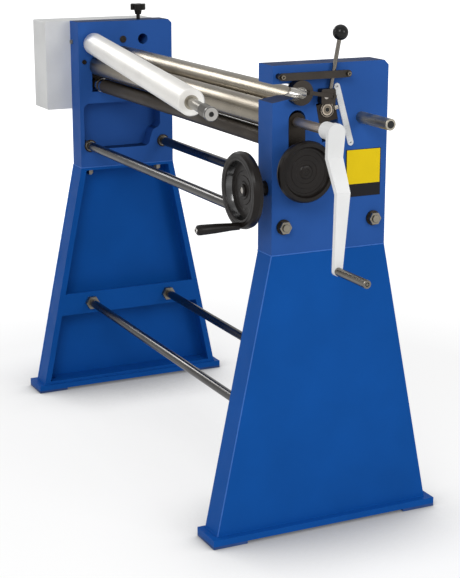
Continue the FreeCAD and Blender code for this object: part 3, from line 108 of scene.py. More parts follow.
def blend_to(tree, source, first, second):
    """Blend a colour, or a socket that carries one, into a second colour by a signal."""
    mix = tree.nodes.new("ShaderNodeMix")
    mix.data_type = "RGBA"
    if isinstance(first, tuple):
        mix.inputs["A"].default_value = (*first, 1)
    else:
        tree.links.new(first, mix.inputs["A"])
    mix.inputs["B"].default_value = (*second, 1)
    tree.links.new(source, mix.inputs["Factor"])
    return mix.outputs["Result"]


def combine(tree, operation, first, second):
    """One step of arithmetic on a signal and a second signal or number."""
    step = tree.nodes.new("ShaderNodeMath")
    step.operation = operation
    tree.links.new(first, step.inputs[0])
    if isinstance(second, (int, float)):
        step.inputs[1].default_value = second
    else:
        tree.links.new(second, step.inputs[1])
    return step.outputs[0]


def part_of(tree, vector, axis):
    """One part of a vector of the surface, such as the Z of its normal."""
    geometry = tree.nodes.new("ShaderNodeNewGeometry")
    split = tree.nodes.new("ShaderNodeSeparateXYZ")
    tree.links.new(geometry.outputs[vector], split.inputs["Vector"])
    return split.outputs[axis]


def bump(tree, shader, source, strength, distance):
    """Drive the shader's normal from a height signal."""
    node = tree.nodes.new("ShaderNodeBump")
    node.inputs["Strength"].default_value = strength
    node.inputs["Distance"].default_value = distance
    tree.links.new(source, node.inputs["Height"])
    tree.links.new(node.outputs["Normal"], shader.inputs["Normal"])


def shade(colour, factor):
    """Lighter or darker copy of a colour."""
    return tuple(min(1.0, part * factor) for part in colour)


# ---------------------------------------------------------------- materials

def paint(name, colour, roughness, orange_peel=0.12, top=1.0):
    """Sprayed enamel: orange peel, slight unevenness, duller patches, and painted shade on level
    tops.

    top is how bright the level tops stay under that painted shade.
    """
    steep, level = 0.80, 0.97
    mat, tree, shader = new_material(name, colour, 0.0, roughness, Specular_IOR_Level=0.05)
    uneven = spread(tree, noise(tree, scale=7.0, detail=4.0), 0.0, 1.0)
    base = blend_to(tree, uneven, shade(colour, 0.92), shade(colour, 1.06))
    # Painted shade: faces that point up blend towards a darker copy of the colour.
    top_shade_mask = spread(tree, part_of(tree, "Normal", "Z"), 0.0, 1.0, steep, level)
    tree.links.new(blend_to(tree, top_shade_mask, base, shade(colour, top)), shader.inputs["Base Color"])
    gloss = spread(tree, noise(tree, scale=26.0), roughness - 0.06, roughness + 0.08)
    tree.links.new(gloss, shader.inputs["Roughness"])
    bump(tree, shader, noise(tree, scale=420.0, detail=2.0), orange_peel, 0.0006)
    return mat


def metal(name, colour, roughness, stretch=(1, 1, 1), lines=600.0, groove=0.08, stain=0.85):
    """Bare steel: tool marks stretched along the cut, soft stains, uneven gloss."""
    mat, tree, shader = new_material(name, colour, 1.0, roughness)
    cloud = spread(tree, noise(tree, scale=9.0, detail=5.0), 0.0, 1.0)
    tree.links.new(blend_to(tree, cloud, shade(colour, stain), shade(colour, 1.05)),
                   shader.inputs["Base Color"])
    marks = noise(tree, scale=lines, detail=2.0, stretch=stretch)
    tree.links.new(spread(tree, marks, roughness * 0.75, roughness * 1.3),
                   shader.inputs["Roughness"])
    bump(tree, shader, marks, groove, 0.0003)
    return mat


def turned_roll(name, colour, roughness, shaft_colour, shaft_roughness=0.46):
    """Ground roll steel that turns into a duller, browner shaft beyond the crank side head."""
    fade_start, fade_end = OUTER - 0.040, OUTER - 0.020
    mat = metal(name, colour, roughness, (1, 12, 12), 3.0, 0.006, 0.75)
    tree = mat.node_tree
    shader = tree.nodes["Principled BSDF"]
    beyond = spread(tree, part_of(tree, "Position", "X"), 0.0, 1.0, fade_start, fade_end)
    for socket, far in (("Base Color", shaft_colour), ("Roughness", (shaft_roughness,) * 3)):
        near = shader.inputs[socket].links[0].from_socket
        tree.links.new(blend_to(tree, beyond, near, far), shader.inputs[socket])
    return mat


def plastic(name, colour, roughness, grain=0.05, patch=1.5):
    """Moulded plastic with a faint skin and dull patches, which are brighter by patch."""
    mat, tree, shader = new_material(name, colour, 0.0, roughness, Specular_IOR_Level=0.26)
    dull = spread(tree, noise(tree, scale=18.0, detail=4.0), 0.0, 1.0)
    tree.links.new(blend_to(tree, dull, shade(colour, 0.8), shade(colour, patch)),
                   shader.inputs["Base Color"])
    gloss = spread(tree, noise(tree, scale=60.0), roughness - 0.05, roughness + 0.1)
    tree.links.new(gloss, shader.inputs["Roughness"])
    bump(tree, shader, noise(tree, scale=700.0, detail=2.0), grain, 0.0004)
    return mat


# Each row: maker, name, colour, roughness, then the maker's further values in its own order.
MATERIAL_ROWS = (
    # head_paint's last value is top: painted shade on the heads' level tops.
    (paint, "head_paint", (0.028, 0.110, 0.400), 0.44, 0.12, 0.30),
    (paint, "leg_paint", (0.006, 0.094, 0.400), 0.38),
    # Lighter than leg_paint: painted highlight on the weld seams and the legs' front edges.
    (paint, "seam_paint", (0.060, 0.190, 0.600), 0.38),
    (paint, "cover_paint", (0.86, 0.865, 0.86), 0.45, 0.08),
    (paint, "white_enamel", (0.91, 0.915, 0.91), 0.30, 0.06),
    (turned_roll, "roll_steel", (0.315, 0.276, 0.215), 0.27, (0.52, 0.45, 0.37)),
    # A much lighter copy of roll_steel for the upper roll: painted reflection of the white
    # surroundings.
    (metal, "bright_roll", (0.96, 0.94, 0.90), 0.46, (1, 6, 6), 2.0, 0.004, 0.97),
    # Lighter steel for the seat's end in the ring: painted highlight, against the darker steel of
    # the same seat in the slot.
    (metal, "seat_steel", (0.62, 0.60, 0.56), 0.22, (40, 1, 1), 14.0, 0.02, 0.8),
    (metal, "thread_steel", (0.26, 0.25, 0.235), 0.22, (40, 1, 1), 14.0, 0.03, 0.7),
    (metal, "neck_steel", (0.30, 0.28, 0.24), 0.28, (1, 4, 4), 6.0, 0.01, 0.6),
    (metal, "peg_steel", (0.50, 0.46, 0.38), 0.40, (1, 1, 1), 30.0, 0.01, 0.7),
    (metal, "rod_steel", (0.25, 0.23, 0.20), 0.26, (1, 1, 1), 12.0, 0.003, 0.75),
    (metal, "bare_journal", (0.21, 0.18, 0.14), 0.34, (1, 1, 1), 40.0, 0.02, 0.7),
    (metal, "turned_steel", (0.50, 0.47, 0.43), 0.28, (40, 1, 1), 14.0, 0.08, 0.7),
    (metal, "polished_steel", (0.62, 0.60, 0.57), 0.16, (1, 1, 1), 300.0, 0.02),
    (metal, "dark_rod", (0.13, 0.125, 0.12), 0.26, (1, 4, 4), 5.0, 0.003, 0.7),
    (metal, "brown_shaft", (0.075, 0.062, 0.050), 0.48, (1, 4, 4), 5.0, 0.003, 0.6),
    (metal, "black_oxide", (0.055, 0.048, 0.042), 0.38, (1, 1, 1), 260.0, 0.06, 0.6),
    (metal, "dark_block", (0.042, 0.036, 0.031), 0.40, (1, 1, 1), 260.0, 0.06, 0.6),
    (metal, "polished_black", (0.13, 0.13, 0.13), 0.17, (1, 1, 1), 90.0, 0.01, 0.8),
    (metal, "zinc", (0.33, 0.30, 0.245), 0.32, (1, 1, 1), 60.0, 0.02, 0.7),
    (plastic, "wheel_plastic", (0.0075, 0.0055, 0.0045), 0.32),
    (plastic, "ball_plastic", (0.010, 0.010, 0.010), 0.10, 0.01),
    (plastic, "sole_rubber", (0.028, 0.070, 0.220), 0.55, 0.12),
    (plastic, "strip_white", (0.86, 0.88, 0.89), 0.40, 0.03, 1.03),
    # Near black for discs that stand as painted shade in holes, bores and grooves.
    (plastic, "tick_black", (0.015, 0.015, 0.015), 0.50, 0.03),
    (plastic, "tick_grey", (0.62, 0.64, 0.66), 0.50, 0.03),
    (metal, "bronze", (0.50, 0.33, 0.14), 0.34, (1, 1, 1), 260.0, 0.06, 0.75),
    (paint, "plate_yellow", (0.90, 0.65, 0.012), 0.42, 0.03),
    (paint, "plate_dark", (0.024, 0.023, 0.026), 0.42, 0.03),
)
MATERIALS = {name: make(name, *values) for make, name, *values in MATERIAL_ROWS}

# The CAD nodes that each material dresses.
LOOKS = {
    "head_paint": ("right_head", "left_head"),
    "leg_paint": ("right_leg", "left_leg", "right_foot_plate", "left_foot_plate"),
    "sole_rubber": ("foot_soles",),
    "cover_paint": ("gear_cover",),
    "white_enamel": ("crank_arm", "crank_hub"),
    "bright_roll": ("upper_roll",),
    "roll_steel": ("lower_roll", "rear_roll"),
    "dark_rod": ("front_upper_tie_rod", "rear_upper_tie_rod", "lower_tie_rods"),
    "brown_shaft": ("lift_shaft",),
    "zinc": ("tie_rod_nuts", "head_studs", "head_stud_nuts", "cover_screws"),
    "bare_journal": ("strap_screws",),
    "neck_steel": ("upper_roll_journal",),
    "thread_steel": ("upper_roll_sleeve",),
    "rod_steel": ("lever_rod", "crank_grip", "crank_grip_pin"),
    "peg_steel": ("steel_peg",),
    "wheel_plastic": ("lower_handwheel", "front_handwheel", "front_handle", "star_knob"),
    "ball_plastic": ("ball_knob",),
    "black_oxide": ("latch_strap", "latch_ring", "latch_link", "lever_block", "strap_spacers",
                    "tie_rod_washers"),
    # worm_bush is dark here as painted shade, so that it sinks into the shadow behind the front
    # wheel.
    "dark_block": ("worm_bush", "lower_slide_blocks", "rear_slide_blocks"),
    "polished_steel": ("scale_pointer", "front_handle_spindle", "lift_shaft_collars"),
    "turned_steel": ("upper_gear", "lower_gear", "swivel_yoke", "kingpin",
                     "kingpin_bracket", "cover_posts", "lift_gear", "lift_pinion",
                     "lift_stub_shaft", "rear_cross_shaft", "rack_pinions", "worm_shaft",
                     "lever_pivot_pin"),
    "strip_white": ("scale_strip",),
    "bronze": ("worm_wheel",),
}

# Width of the rounded edges of the CAD nodes that show them.
SOFT_EDGES = {
    "right_head": 0.0015, "left_head": 0.0015, "right_leg": 0.0012, "left_leg": 0.0012,
    "right_foot_plate": 0.0015, "left_foot_plate": 0.0015, "crank_arm": 0.0035,
    "latch_strap": 0.0006, "latch_ring": 0.0006, "lever_block": 0.0008,
    "latch_link": 0.0005, "crank_hub": 0.0008, "scale_strip": 0.0004,
    "star_knob": 0.0012, "gear_cover": 0.0010, "tie_rod_nuts": 0.0006,
    "foot_soles": 0.0008,
}
EDGE_ANGLE = math.radians(28)      # flatter edges aren't rounded
SMOOTH_ANGLE = math.radians(35)    # steeper edges of the pieces below stay sharp


def dress_nodes():
    """Give every CAD node its material and, where it shows, softer edges."""
    looks = {node: name for name, nodes in LOOKS.items() for node in nodes}
    for name, node in NODES.items():
        if node.type != "MESH":
            continue
        mat = MATERIALS[looks[name]]
        if not node.material_slots:
            node.data.materials.append(mat)
        for slot in node.material_slots:
            slot.material = mat
        if name in SOFT_EDGES:
            soften = node.modifiers.new("soft_edges", "BEVEL")
            soften.width = SOFT_EDGES[name]
            soften.segments = 2
            soften.limit_method = "ANGLE"
            soften.angle_limit = EDGE_ANGLE
            soften.harden_normals = True


# ---------------------------------------------------------------- mesh helpers

def finish_piece(name, bm, material, body, smooth=True):
    """Turn a bmesh into a piece that rides on a CAD body."""
    mesh = bpy.data.meshes.new(name)
    bmesh.ops.recalc_face_normals(bm, faces=bm.faces)
    bm.to_mesh(mesh)
    bm.free()
    piece = bpy.data.objects.new(name, mesh)
    bpy.context.collection.objects.link(piece)
    piece.data.materials.append(MATERIALS[material])
    if smooth:
        mesh.polygons.foreach_set("use_smooth", [True] * len(mesh.polygons))
        mesh.set_sharp_from_angle(angle=SMOOTH_ANGLE)
    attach(piece, body)
    return piece


def frame_of(origin, axis, up=(0, 0, 1)):
    """Matrix that takes local X to an axis at a place."""
    x = Vector(axis).normalized()
    z = Vector(up)
    z = (z - x * z.dot(x)).normalized()
    y = z.cross(x)
    turn = Matrix((x, y, z)).transposed().to_4x4()
    return Matrix.Translation(Vector(origin)) @ turn


def join_rings(bm, first, second):
    """Faces between two rings of corners; a ring of one corner makes a point."""
    count = max(len(first), len(second))
    for step in range(count):
        after = (step + 1) % count
        corners = [first[step % len(first)], first[after % len(first)],
                   second[after % len(second)], second[step % len(second)]]
        corners = list(dict.fromkeys(corners))
        if len(corners) > 2:
            bm.faces.new(corners)


def add_lathe(bm, profile, where, segments=48):
    """Revolve (along, radius) points about local X; radius 0 closes an end."""
    rings = []
    for along, radius in profile:
        if radius <= 0:
            rings.append([bm.verts.new(where @ Vector((along, 0, 0)))])
            continue
        ring = []
        for step in range(segments):
            turn = 2 * math.pi * step / segments
            spot = Vector((along, radius * math.cos(turn), radius * math.sin(turn)))
            ring.append(bm.verts.new(where @ spot))
        rings.append(ring)
    for first, second in zip(rings, rings[1:]):
        join_rings(bm, first, second)


def add_block(bm, where, size, bevel=0.0):
    """Box with its size along local X, Y and Z, centred on its place."""
    made = bmesh.ops.create_cube(bm, size=1.0,
                                 matrix=where @ Matrix.Diagonal((*size, 1)))
    if bevel:
        rim = {edge for vert in made["verts"] for edge in vert.link_edges}
        bmesh.ops.bevel(bm, geom=list(rim), offset=bevel, segments=2, affect="EDGES")


def lathe(name, profile, origin, axis, material, body, segments=48):
    """One revolved piece."""
    bm = bmesh.new()
    add_lathe(bm, profile, frame_of(origin, axis), segments)
    return finish_piece(name, bm, material, body)


def screw_profile(radius, high, socket_radius):
    """Profile of a cap screw head with a round recess."""
    edge, socket_edge, socket_deep = 0.0006, 0.0005, 0.0025
    return [(0, 0), (0, radius), (high - edge, radius), (high, radius - edge),
            (high, socket_radius + edge), (high - socket_edge, socket_radius),
            (high - socket_deep, socket_radius), (high - socket_deep, 0)]


# ---------------------------------------------------------------- crank side head

def make_scale_marks():
    """Ticks and screws of the scale strip beside the rear slide."""
    tilt = math.radians(16.3)
    face = Vector((OUTER + 0.003, 0.029, 0.905))
    along = Vector((0, -math.sin(tilt), math.cos(tilt)))
    across = Vector((0, math.cos(tilt), math.sin(tilt)))
    ticks_each_way = 11
    tick_gap = 0.005
    tick_edge = 0.0055       # ticks start this far from the strip's middle line
    tick_stand, tick_wide = 0.0003, 0.0009
    bm = bmesh.new()
    for index in range(-ticks_each_way, ticks_each_way + 1):
        long = 0.0075 if index % 5 == 0 else 0.0045
        spot = face + along * index * tick_gap + across * (long / 2 - tick_edge)
        add_block(bm, frame_of(spot, across, along), (long, tick_stand, tick_wide))
    finish_piece("scale_marks", bm, "tick_grey", "frame", smooth=False)

    screw_spread = 0.0615
    bm = bmesh.new()
    for way in (-1, 1):
        spot = face + along * way * screw_spread
        add_lathe(bm, screw_profile(0.0034, 0.0016, 0.0015), frame_of(spot, TO_RIGHT), segments=24)
    finish_piece("scale_screws", bm, "strip_white", "frame")


def make_plate():
    """Plain blank plate with a plain panel."""
    middle = 0.079
    rows = (("blank_plate", "plate_dark", 0.0005, 0.780, (0.001, 0.084, 0.100), 0.0003),
            ("blank_plate_panel", "plate_yellow", 0.0012, 0.793, (0.0005, 0.080, 0.072), 0.0002))
    for name, material, stand, height, size, bevel in rows:
        bm = bmesh.new()
        add_block(bm, frame_of((OUTER + stand, middle, height), TO_RIGHT), size, bevel)
        finish_piece(name, bm, material, "frame")


# ---------------------------------------------------------------- welds

def make_weld_beads():
    """Fillet weld beads between each leg and its foot plate."""
    rng = random.Random(4)
    bead_gap, bead_radius, bead_flat = 0.0035, 0.0026, 0.9
    height = LEG_BASE + 0.0005
    for word, side in SIDES.items():
        bm = bmesh.new()
        runs = []
        for face in (INNER, OUTER):
            runs.append(((side * face, -LEG_HALF), (side * face, LEG_HALF)))
        for row in (-LEG_HALF, LEG_HALF):
            runs.append(((side * INNER, row), (side * OUTER, row)))
        for start, end in runs:
            start, end = Vector((*start, height)), Vector((*end, height))
            count = int((end - start).length / bead_gap)
            along = (end - start).normalized()
            for step in range(count):
                spot = start + along * (step + 0.5) * bead_gap
                size = bead_radius * rng.uniform(0.85, 1.1)
                where = (Matrix.Translation(spot)
                         @ Matrix.Diagonal((size, size, size * bead_flat, 1)))
                bmesh.ops.create_icosphere(bm, subdivisions=1, radius=1.0, matrix=where)
        finish_piece(word + "_weld_bead", bm, "leg_paint", "frame")


def make_seams():
    """Weld seams between head and leg, and the bead along each leg's outer front edge, in a
    lighter blue as painted highlight.
    """
    rng = random.Random(9)
    seam_radius, seam_step = 0.0014, 0.006
    for word, side in SIDES.items():
        inner_front = (side * INNER, -HEAD_HALF, HEAD_BASE)
        inner_rear = (side * INNER, HEAD_HALF, HEAD_BASE)
        outer_front = (side * OUTER, -HEAD_HALF, HEAD_BASE)
        outer_rear = (side * OUTER, HEAD_HALF, HEAD_BASE)
        outer_foot = (side * OUTER, -LEG_HALF, LEG_BASE)
        runs = ((outer_front, outer_rear), (inner_front, inner_rear),
                (inner_front, outer_front), (outer_front, outer_foot))
        bm = bmesh.new()
        for start, end in runs:
            start, end = Vector(start), Vector(end)
            along = (end - start).normalized()
            length = (end - start).length
            steps = int(length / seam_step)
            profile = [(0, 0)]
            for step in range(steps + 1):
                profile.append((length * step / steps, seam_radius * rng.uniform(0.85, 1.15)))
            profile.append((length, 0))
            up = (1, 0, 0) if abs(along.x) < 0.5 else (0, 0, 1)
            add_lathe(bm, profile, frame_of(start, along, up), segments=8)
        finish_piece(word + "_seams", bm, "seam_paint", "frame")


# ---------------------------------------------------------------- screws

def make_strap_screws():
    """Heads of the two screws that hold the latch strap."""
    strap_front, strap_rear = -0.130, 0.036
    strap_base, strap_high = 0.983, 0.015
    strap_face = OUTER + 0.0135 + 0.006
    screw_stand = 0.003
    bm = bmesh.new()
    for row in (strap_front + strap_high / 2, strap_rear - strap_high / 2):
        spot = (strap_face + screw_stand, row, strap_base + strap_high / 2)
        add_lathe(bm, screw_profile(0.0046, 0.0022, 0.0019), frame_of(spot, TO_RIGHT),
                  segments=28)
    finish_piece("strap_screw_heads", bm, "bare_journal", "frame")


def make_left_head_screws():
    """Two screws and a plug on the gear side head."""
    lathe("left_front_screw", screw_profile(0.006, 0.005, 0.0028), (-0.578, -HEAD_HALF, UPPER_Z),
          TO_FRONT, "peg_steel", "frame", segments=28)
    lathe("left_inner_screw", screw_profile(0.006, 0.004, 0.0028), (-INNER, -0.120, 0.907),
          TO_RIGHT, "dark_block", "frame", segments=28)
    plug = [(0, 0), (0, 0.0095), (0.0012, 0.0095), (0.0018, 0.0088), (0.0018, 0.0040),
            (0.0010, 0.0034), (0.0010, 0)]
    lathe("left_inner_plug", plug, (-INNER, -0.0075, 0.963), TO_RIGHT, "dark_block", "frame",
          segments=32)


def make_handle_screws():
    """End screws of the front handwheel's handle and of the crank's grip."""
    handle_pitch, handle_long, handle_angle = 0.072, 0.097, math.radians(8.6)
    handle_end = (WORM_X + handle_pitch * math.sin(handle_angle), FRONT_WHEEL_FRONT - handle_long,
                  WORM_Z - handle_pitch * math.cos(handle_angle))
    lathe("handle_end_screw", screw_profile(0.0055, 0.0022, 0.0026), handle_end, TO_FRONT,
          "polished_steel", "front_handle_body", segments=28)

    crank_radius, crank_hang = 0.265, math.radians(3.2)
    crank_stand, hub_long, arm_thick, arm_jog = 0.119, 0.034, 0.010, 0.041
    grip_long, screw_high = 0.110, 0.0016
    grip_start = OUTER + crank_stand + hub_long + arm_thick + arm_jog
    grip_end = (grip_start + grip_long - screw_high, NIP_Y - crank_radius * math.sin(crank_hang),
                LOWER_Z - crank_radius * math.cos(crank_hang))
    lathe("grip_end_screw", screw_profile(0.0048, screw_high, 0.0022), grip_end, TO_RIGHT,
          "turned_steel", "crank_grip_body", segments=28)


# ---------------------------------------------------------------- shafts and rods

def make_shaft_sleeve():
    """Dark guard tube round the lift shaft between its collars and the crank side head."""
    start, end = -0.4805, 0.5275
    long = end - start
    bore, radius, bevel = 0.0158, 0.0185, 0.0004
    rim = radius - 0.0003
    profile = [(0, bore), (0, rim), (bevel, radius), (long - bevel, radius), (long, rim),
               (long, bore)]
    lathe("lift_shaft_sleeve", profile, (start, NIP_Y, LIFT_SHAFT_Z), TO_RIGHT, "brown_shaft",
          "lift_shaft_body", segments=64)


def make_rod_collars():
    """Dark collars with a bright lip where the upper tie rods meet the gear side head."""
    bore = 0.0105
    collar = [(0, bore), (0, 0.0170), (0.0030, 0.0170), (0.0036, 0.0160), (0.0036, bore)]
    lip = [(0.0036, bore), (0.0036, 0.0140), (0.0052, 0.0132), (0.0052, bore)]
    for word, row in TIE_ROWS.items():
        spot = (-INNER, row, TIE_HEIGHT)
        lathe(word + "_rod_collar", collar, spot, TO_RIGHT, "dark_block", "frame",
              segments=40)
        lathe(word + "_rod_lip", lip, spot, TO_RIGHT, "zinc", "frame",
              segments=40)


def make_stud_ends():
    """Bright ends of the upper tie rods, and a black disc on the peg's end as painted shade of its
    bore.
    """
    profile = [(0, 0.0076), (0.0003, 0.0074), (0.0005, 0.0055), (0.0005, 0)]
    bm = bmesh.new()
    for way in (-1, 1):
        for row in TIE_ROWS.values():
            spot = (way * (OUTER + STUD_PAST), row, TIE_HEIGHT)
            add_lathe(bm, profile, frame_of(spot, (way, 0, 0)), segments=32)
    finish_piece("tie_rod_ends", bm, "zinc", "frame")

    peg_end = (OUTER + 0.117, 0.0713, 0.8966)
    lathe("peg_bore", [(0, 0.0078), (0.0002, 0.0078), (0.0002, 0)], peg_end, TO_RIGHT,
          "tick_black", "frame", segments=32)


def make_boss_rings():
    """Dark rings, a bright ring between them and the centre hole on the rear roll's boss, as thin
    discs: painted shade and painted highlight in place of the boss's grooves and steps.
    """
    face = Vector((OUTER + 0.0033, REAR_ROLL_Y, REAR_ROLL_Z))
    stand = 0.0002
    bm = bmesh.new()
    for inside, outside in ((0.0118, 0.0142), (0.0, 0.0046)):
        profile = [(0, inside), (stand, inside), (stand, outside), (0, outside)]
        add_lathe(bm, profile, frame_of(face, TO_RIGHT), segments=40)
    finish_piece("rear_boss_rings", bm, "tick_black", "rear_roll_body")
    lathe("rear_boss_collar", [(0, 0.0050), (stand, 0.0050), (stand, 0.0088), (0, 0.0088)],
          face, TO_RIGHT, "bare_journal", "rear_roll_body", segments=40)


def make_block_foot():
    """Lower end of the crank side slide block, seen under its slot: a thin dark sheet on the
    head's face, partly painted shade of the slot.
    """
    thick, wide, high, bevel = 0.0008, 0.0384, 0.019, 0.0002
    middle = (OUTER + thick / 2, NIP_Y, 0.8525)
    bm = bmesh.new()
    add_block(bm, frame_of(middle, TO_RIGHT), (thick, wide, high), bevel)
    finish_piece("slide_block_foot", bm, "dark_block", "lower_slide")


# ---------------------------------------------------------------- journal seat

def add_half_sleeve(name, material, bands):
    """Sweep bands round the rear half of the upper roll's seat.

    Each band is (distance from the head's inner face, inside radius, outside radius).
    """
    steps = 28
    reach = 200              # in degrees, a little past the half on each side
    arc = []
    for step in range(steps + 1):
        turn = math.radians(-reach / 2 + reach * step / steps)
        arc.append((math.cos(turn), math.sin(turn)))
    bm = bmesh.new()
    rows = []
    for along, inside, outside in bands:
        inner = [bm.verts.new((INNER + along, NIP_Y + inside * y, UPPER_Z + inside * z))
                 for y, z in arc]
        outer = [bm.verts.new((INNER + along, NIP_Y + outside * y, UPPER_Z + outside * z))
                 for y, z in reversed(arc)]
        rows.append(inner + outer)
    for first, second in zip(rows, rows[1:]):
        join_rings(bm, first, second)
    size = len(rows[0])
    for row in (rows[0], rows[-1]):
        for step in range(steps):
            bm.faces.new((row[step], row[step + 1], row[size - 2 - step], row[size - 1 - step]))
    finish_piece(name, bm, material, "latch_ring_body")


def make_journal_seat():
    """Half sleeve that seats the upper roll's journal: darker steel in the slot as painted shade,
    lighter steel in the ring as painted highlight.
    """
    joint = (0.0130, 0.0118, 0.0129)
    add_half_sleeve("journal_seat", "bare_journal",
                    ((-0.0005, 0.0142, 0.0150), (0.008, 0.0120, 0.0132), joint))
    add_half_sleeve("journal_seat_end", "seat_steel",
                    (joint, (0.0616, 0.0116, 0.0126), (0.0624, 0.01075, 0.0111),
                     (0.0820, 0.01075, 0.0111)))


# ---------------------------------------------------------------- handwheels

def make_front_wheel_face():
    """Shallow dished face, polished band and inner rim of the front handwheel."""
    face = [(0.0110, 0.0490), (0.0186, 0.0568), (0.0190, 0.0560), (0.0190, 0.0400),
            (0.0178, 0.0390), (0.0178, 0.0300), (0.0188, 0.0290), (0.0188, 0.0190),
            (0.0205, 0.0172), (0.0205, 0.0112)]
    band = [(0.0190, 0.0571), (0.0190, 0.0564), (0.0240, 0.0588), (0.0312, 0.0606),
            (0.0312, 0.0616), (0.0240, 0.0598), (0.0190, 0.0571)]
    rim = [(0.0240, 0.0664), (0.0240, 0.0600), (0.0312, 0.0607), (0.0331, 0.0622),
           (0.0337, 0.0645), (0.0335, 0.0690), (0.0328, 0.0700)]
    for word, profile, material in (("face", face, "wheel_plastic"),
                                    ("band", band, "polished_black"),
                                    ("rim", rim, "wheel_plastic")):
        lathe("front_wheel_" + word, profile, (WORM_X, FRONT_WHEEL_BACK, WORM_Z), TO_FRONT,
              material, "worm_body", segments=72)


def make_lower_wheel_face():
    """Stepped face disc of the lower handwheel."""
    stand, wheel_z = 0.020, 0.800
    profile = [(0.0095, 0.0480), (0.0215, 0.0492), (0.0222, 0.0485), (0.0222, 0.0440),
               (0.0212, 0.0434), (0.0212, 0.0345), (0.0219, 0.0339), (0.0219, 0.0240),
               (0.0210, 0.0234), (0.0210, 0.0150), (0.0226, 0.0135), (0.0232, 0.0120),
               (0.0232, 0.0070), (0.0222, 0.0062), (0.0222, 0.0030), (0.0230, 0.0024), (0.0230, 0)]
    lathe("lower_wheel_face", profile, (OUTER + stand, NIP_Y, wheel_z), TO_RIGHT,
          "wheel_plastic", "lift_wheel_body", segments=72)


# ---------------------------------------------------------------- upper roll

def make_roll_end():
    """Thread turns on the sleeve at the upper roll's free end, and rings on its end faces."""
    swing, lean = math.radians(9.99), math.radians(5.77)
    axis = Vector((math.cos(swing), -math.sin(swing) * math.cos(lean),
                   -math.sin(swing) * math.sin(lean)))
    pivot_out, tail_long, roll_clear = 0.020, 0.087, 0.005
    pivot = Vector((-OUTER - pivot_out, NIP_Y, UPPER_Z))
    roll_face = pivot_out + HEAD_THICK + 2 * INNER - roll_clear
    tail = pivot_out + 2 * HEAD_THICK + 2 * INNER + tail_long

    turns, thread_start, thread_long = 12, tail - 0.059, 0.050
    bottom, valley, crest = 0.0112, 0.0116, 0.0132
    profile = [(thread_start, bottom)]
    for step in range(turns):
        spot = thread_start + thread_long * step / turns
        profile.append((spot, valley))
        profile.append((spot + thread_long / turns / 2, crest))
    profile.append((profile[-1][0], bottom))
    lathe("roll_end_thread", profile, pivot, axis, "thread_steel", "upper_roll_body",
          segments=40)

    ring = [(0, 0.0104), (0.0003, 0.0104), (0.0003, 0.0150), (0, 0.0150)]
    rim = [(0, 0.0052), (0.0004, 0.0056), (0.0004, 0.0126), (0, 0.0130)]
    # The black disc inside the end is painted shade in the centre hole.
    hole = [(-0.0015, 0.0044), (-0.0010, 0.0044), (-0.0010, 0)]
    for name, profile, along, material, segments in (
            ("roll_face_ring", ring, roll_face, "peg_steel", 48),
            ("roll_end_rim", rim, tail, "polished_steel", 40),
            ("roll_end_hole", hole, tail, "tick_black", 32)):
        lathe(name, profile, pivot + axis * along, axis, material, "upper_roll_body",
              segments)


# ---------------------------------------------------------------- stage

def show_rays(tree, seen, mirrored):
    """Signal that is seen for camera rays, mirrored for glossy and transmitted ones, else 0."""
    path = tree.nodes.new("ShaderNodeLightPath")
    signal = combine(tree, "MULTIPLY", path.outputs["Is Camera Ray"], seen)
    for socket in ("Is Glossy Ray", "Is Transmission Ray"):
        weighed = combine(tree, "MULTIPLY", path.outputs[socket], mirrored)
        signal = combine(tree, "MAXIMUM", signal, weighed)
    return signal


def make_world():
    """Soft light from all round that the camera sees as white."""
    light_strength, mirrored_share = 0.42, 0.3
    world = bpy.data.worlds.new("studio")
    bpy.context.scene.world = world
    world.use_nodes = True
    tree = world.node_tree
    tree.nodes.clear()
    out = tree.nodes.new("ShaderNodeOutputWorld")
    mix = tree.nodes.new("ShaderNodeMixShader")
    tree.links.new(show_rays(tree, 1.0, mirrored_share), mix.inputs["Fac"])
    for entry, strength in ((1, light_strength), (2, 1.0)):
        white = tree.nodes.new("ShaderNodeBackground")
        white.inputs["Color"].default_value = (1, 1, 1, 1)
        white.inputs["Strength"].default_value = strength
        tree.links.new(white.outputs[0], mix.inputs[entry])
    tree.links.new(mix.outputs[0], out.inputs["Surface"])


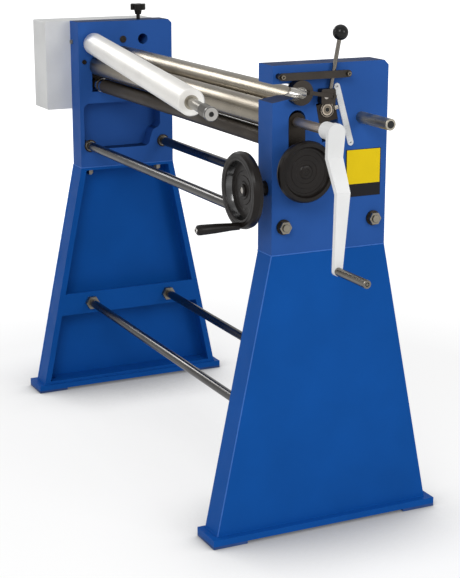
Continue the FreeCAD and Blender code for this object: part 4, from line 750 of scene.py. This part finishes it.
def make_floor():
    """Matte floor that the camera sees as white, with a soft shadow near the feet."""
    shadow_reach = 0.30
    glow_dark, glow_full = 0.20, 1.36        # for corners and for open floor
    fade_start, fade_end = 1.0, 3.0          # distance from the machine's middle
    glow_near, glow_far = 0.52, 1.0
    mirrored_share = 0.4
    bpy.ops.mesh.primitive_plane_add(size=40, location=(0, 0, -0.0005))
    floor = bpy.context.object
    floor.name = "floor"
    mat = bpy.data.materials.new("floor_white")
    mat.use_nodes = True
    tree = mat.node_tree
    tree.nodes.clear()
    out = tree.nodes.new("ShaderNodeOutputMaterial")
    matte = tree.nodes.new("ShaderNodeBsdfDiffuse")
    matte.inputs["Color"].default_value = (0.80, 0.80, 0.80, 1)
    glow = tree.nodes.new("ShaderNodeEmission")
    contact = tree.nodes.new("ShaderNodeAmbientOcclusion")
    contact.inputs["Distance"].default_value = shadow_reach
    tree.links.new(spread(tree, contact.outputs["AO"], glow_dark, glow_full, 0.50, 0.97),
                   glow.inputs["Strength"])
    geometry = tree.nodes.new("ShaderNodeNewGeometry")
    distance = tree.nodes.new("ShaderNodeVectorMath")
    distance.operation = "LENGTH"
    tree.links.new(geometry.outputs["Position"], distance.inputs[0])
    far = spread(tree, distance.outputs["Value"], glow_near, glow_far, fade_start, fade_end)
    mix = tree.nodes.new("ShaderNodeMixShader")
    tree.links.new(combine(tree, "MULTIPLY", far, show_rays(tree, 1.0, mirrored_share)),
                   mix.inputs["Fac"])
    tree.links.new(matte.outputs[0], mix.inputs[1])
    tree.links.new(glow.outputs[0], mix.inputs[2])
    tree.links.new(mix.outputs[0], out.inputs["Surface"])
    floor.data.materials.append(mat)


def make_lamps():
    """Five soft lamps that face the machine's middle."""
    aim = Vector((0.1, 0, 0.6))
    lamps = (("key", (2.9, -2.2, 2.9), 1.6, 44), ("front", (-1.2, -3.2, 2.0), 1.6, 8),
             ("side", (3.4, 1.4, 1.8), 1.4, 24), ("top", (0, 0, 3.4), 2.0, 4),
             ("left", (-4.2, -0.9, 2.9), 1.2, 26))
    for name, place, size, power in lamps:
        data = bpy.data.lights.new(name, "AREA")
        data.shape = "SQUARE"
        data.size = size
        data.energy = power
        lamp = bpy.data.objects.new(name, data)
        bpy.context.collection.objects.link(lamp)
        lamp.location = place
        lamp.rotation_euler = (aim - Vector(place)).to_track_quat("-Z", "Y").to_euler()


def make_camera():
    """The photograph's camera, found by fitting the edges of both stands."""
    yaw, pitch = math.radians(25.757), math.radians(14.943)
    data = bpy.data.cameras.new("camera")
    data.sensor_width = 36
    data.lens = 93.18
    camera = bpy.data.objects.new("camera", data)
    bpy.context.collection.objects.link(camera)
    forward = Vector((-math.cos(yaw) * math.cos(pitch), math.sin(yaw) * math.cos(pitch),
                      -math.sin(pitch)))
    camera.location = (3.2499, -1.5120, 1.3509)
    camera.rotation_euler = forward.to_track_quat("-Z", "Y").to_euler()
    bpy.context.scene.camera = camera
    bpy.context.scene.view_settings.view_transform = "Standard"


dress_nodes()
make_scale_marks()
make_plate()
make_weld_beads()
make_strap_screws()
make_left_head_screws()
make_handle_screws()
make_shaft_sleeve()
make_rod_collars()
make_stud_ends()
make_seams()
make_journal_seat()
make_boss_rings()
make_lower_wheel_face()
make_front_wheel_face()
make_block_foot()
make_roll_end()
make_world()
make_floor()
make_lamps()
make_camera()
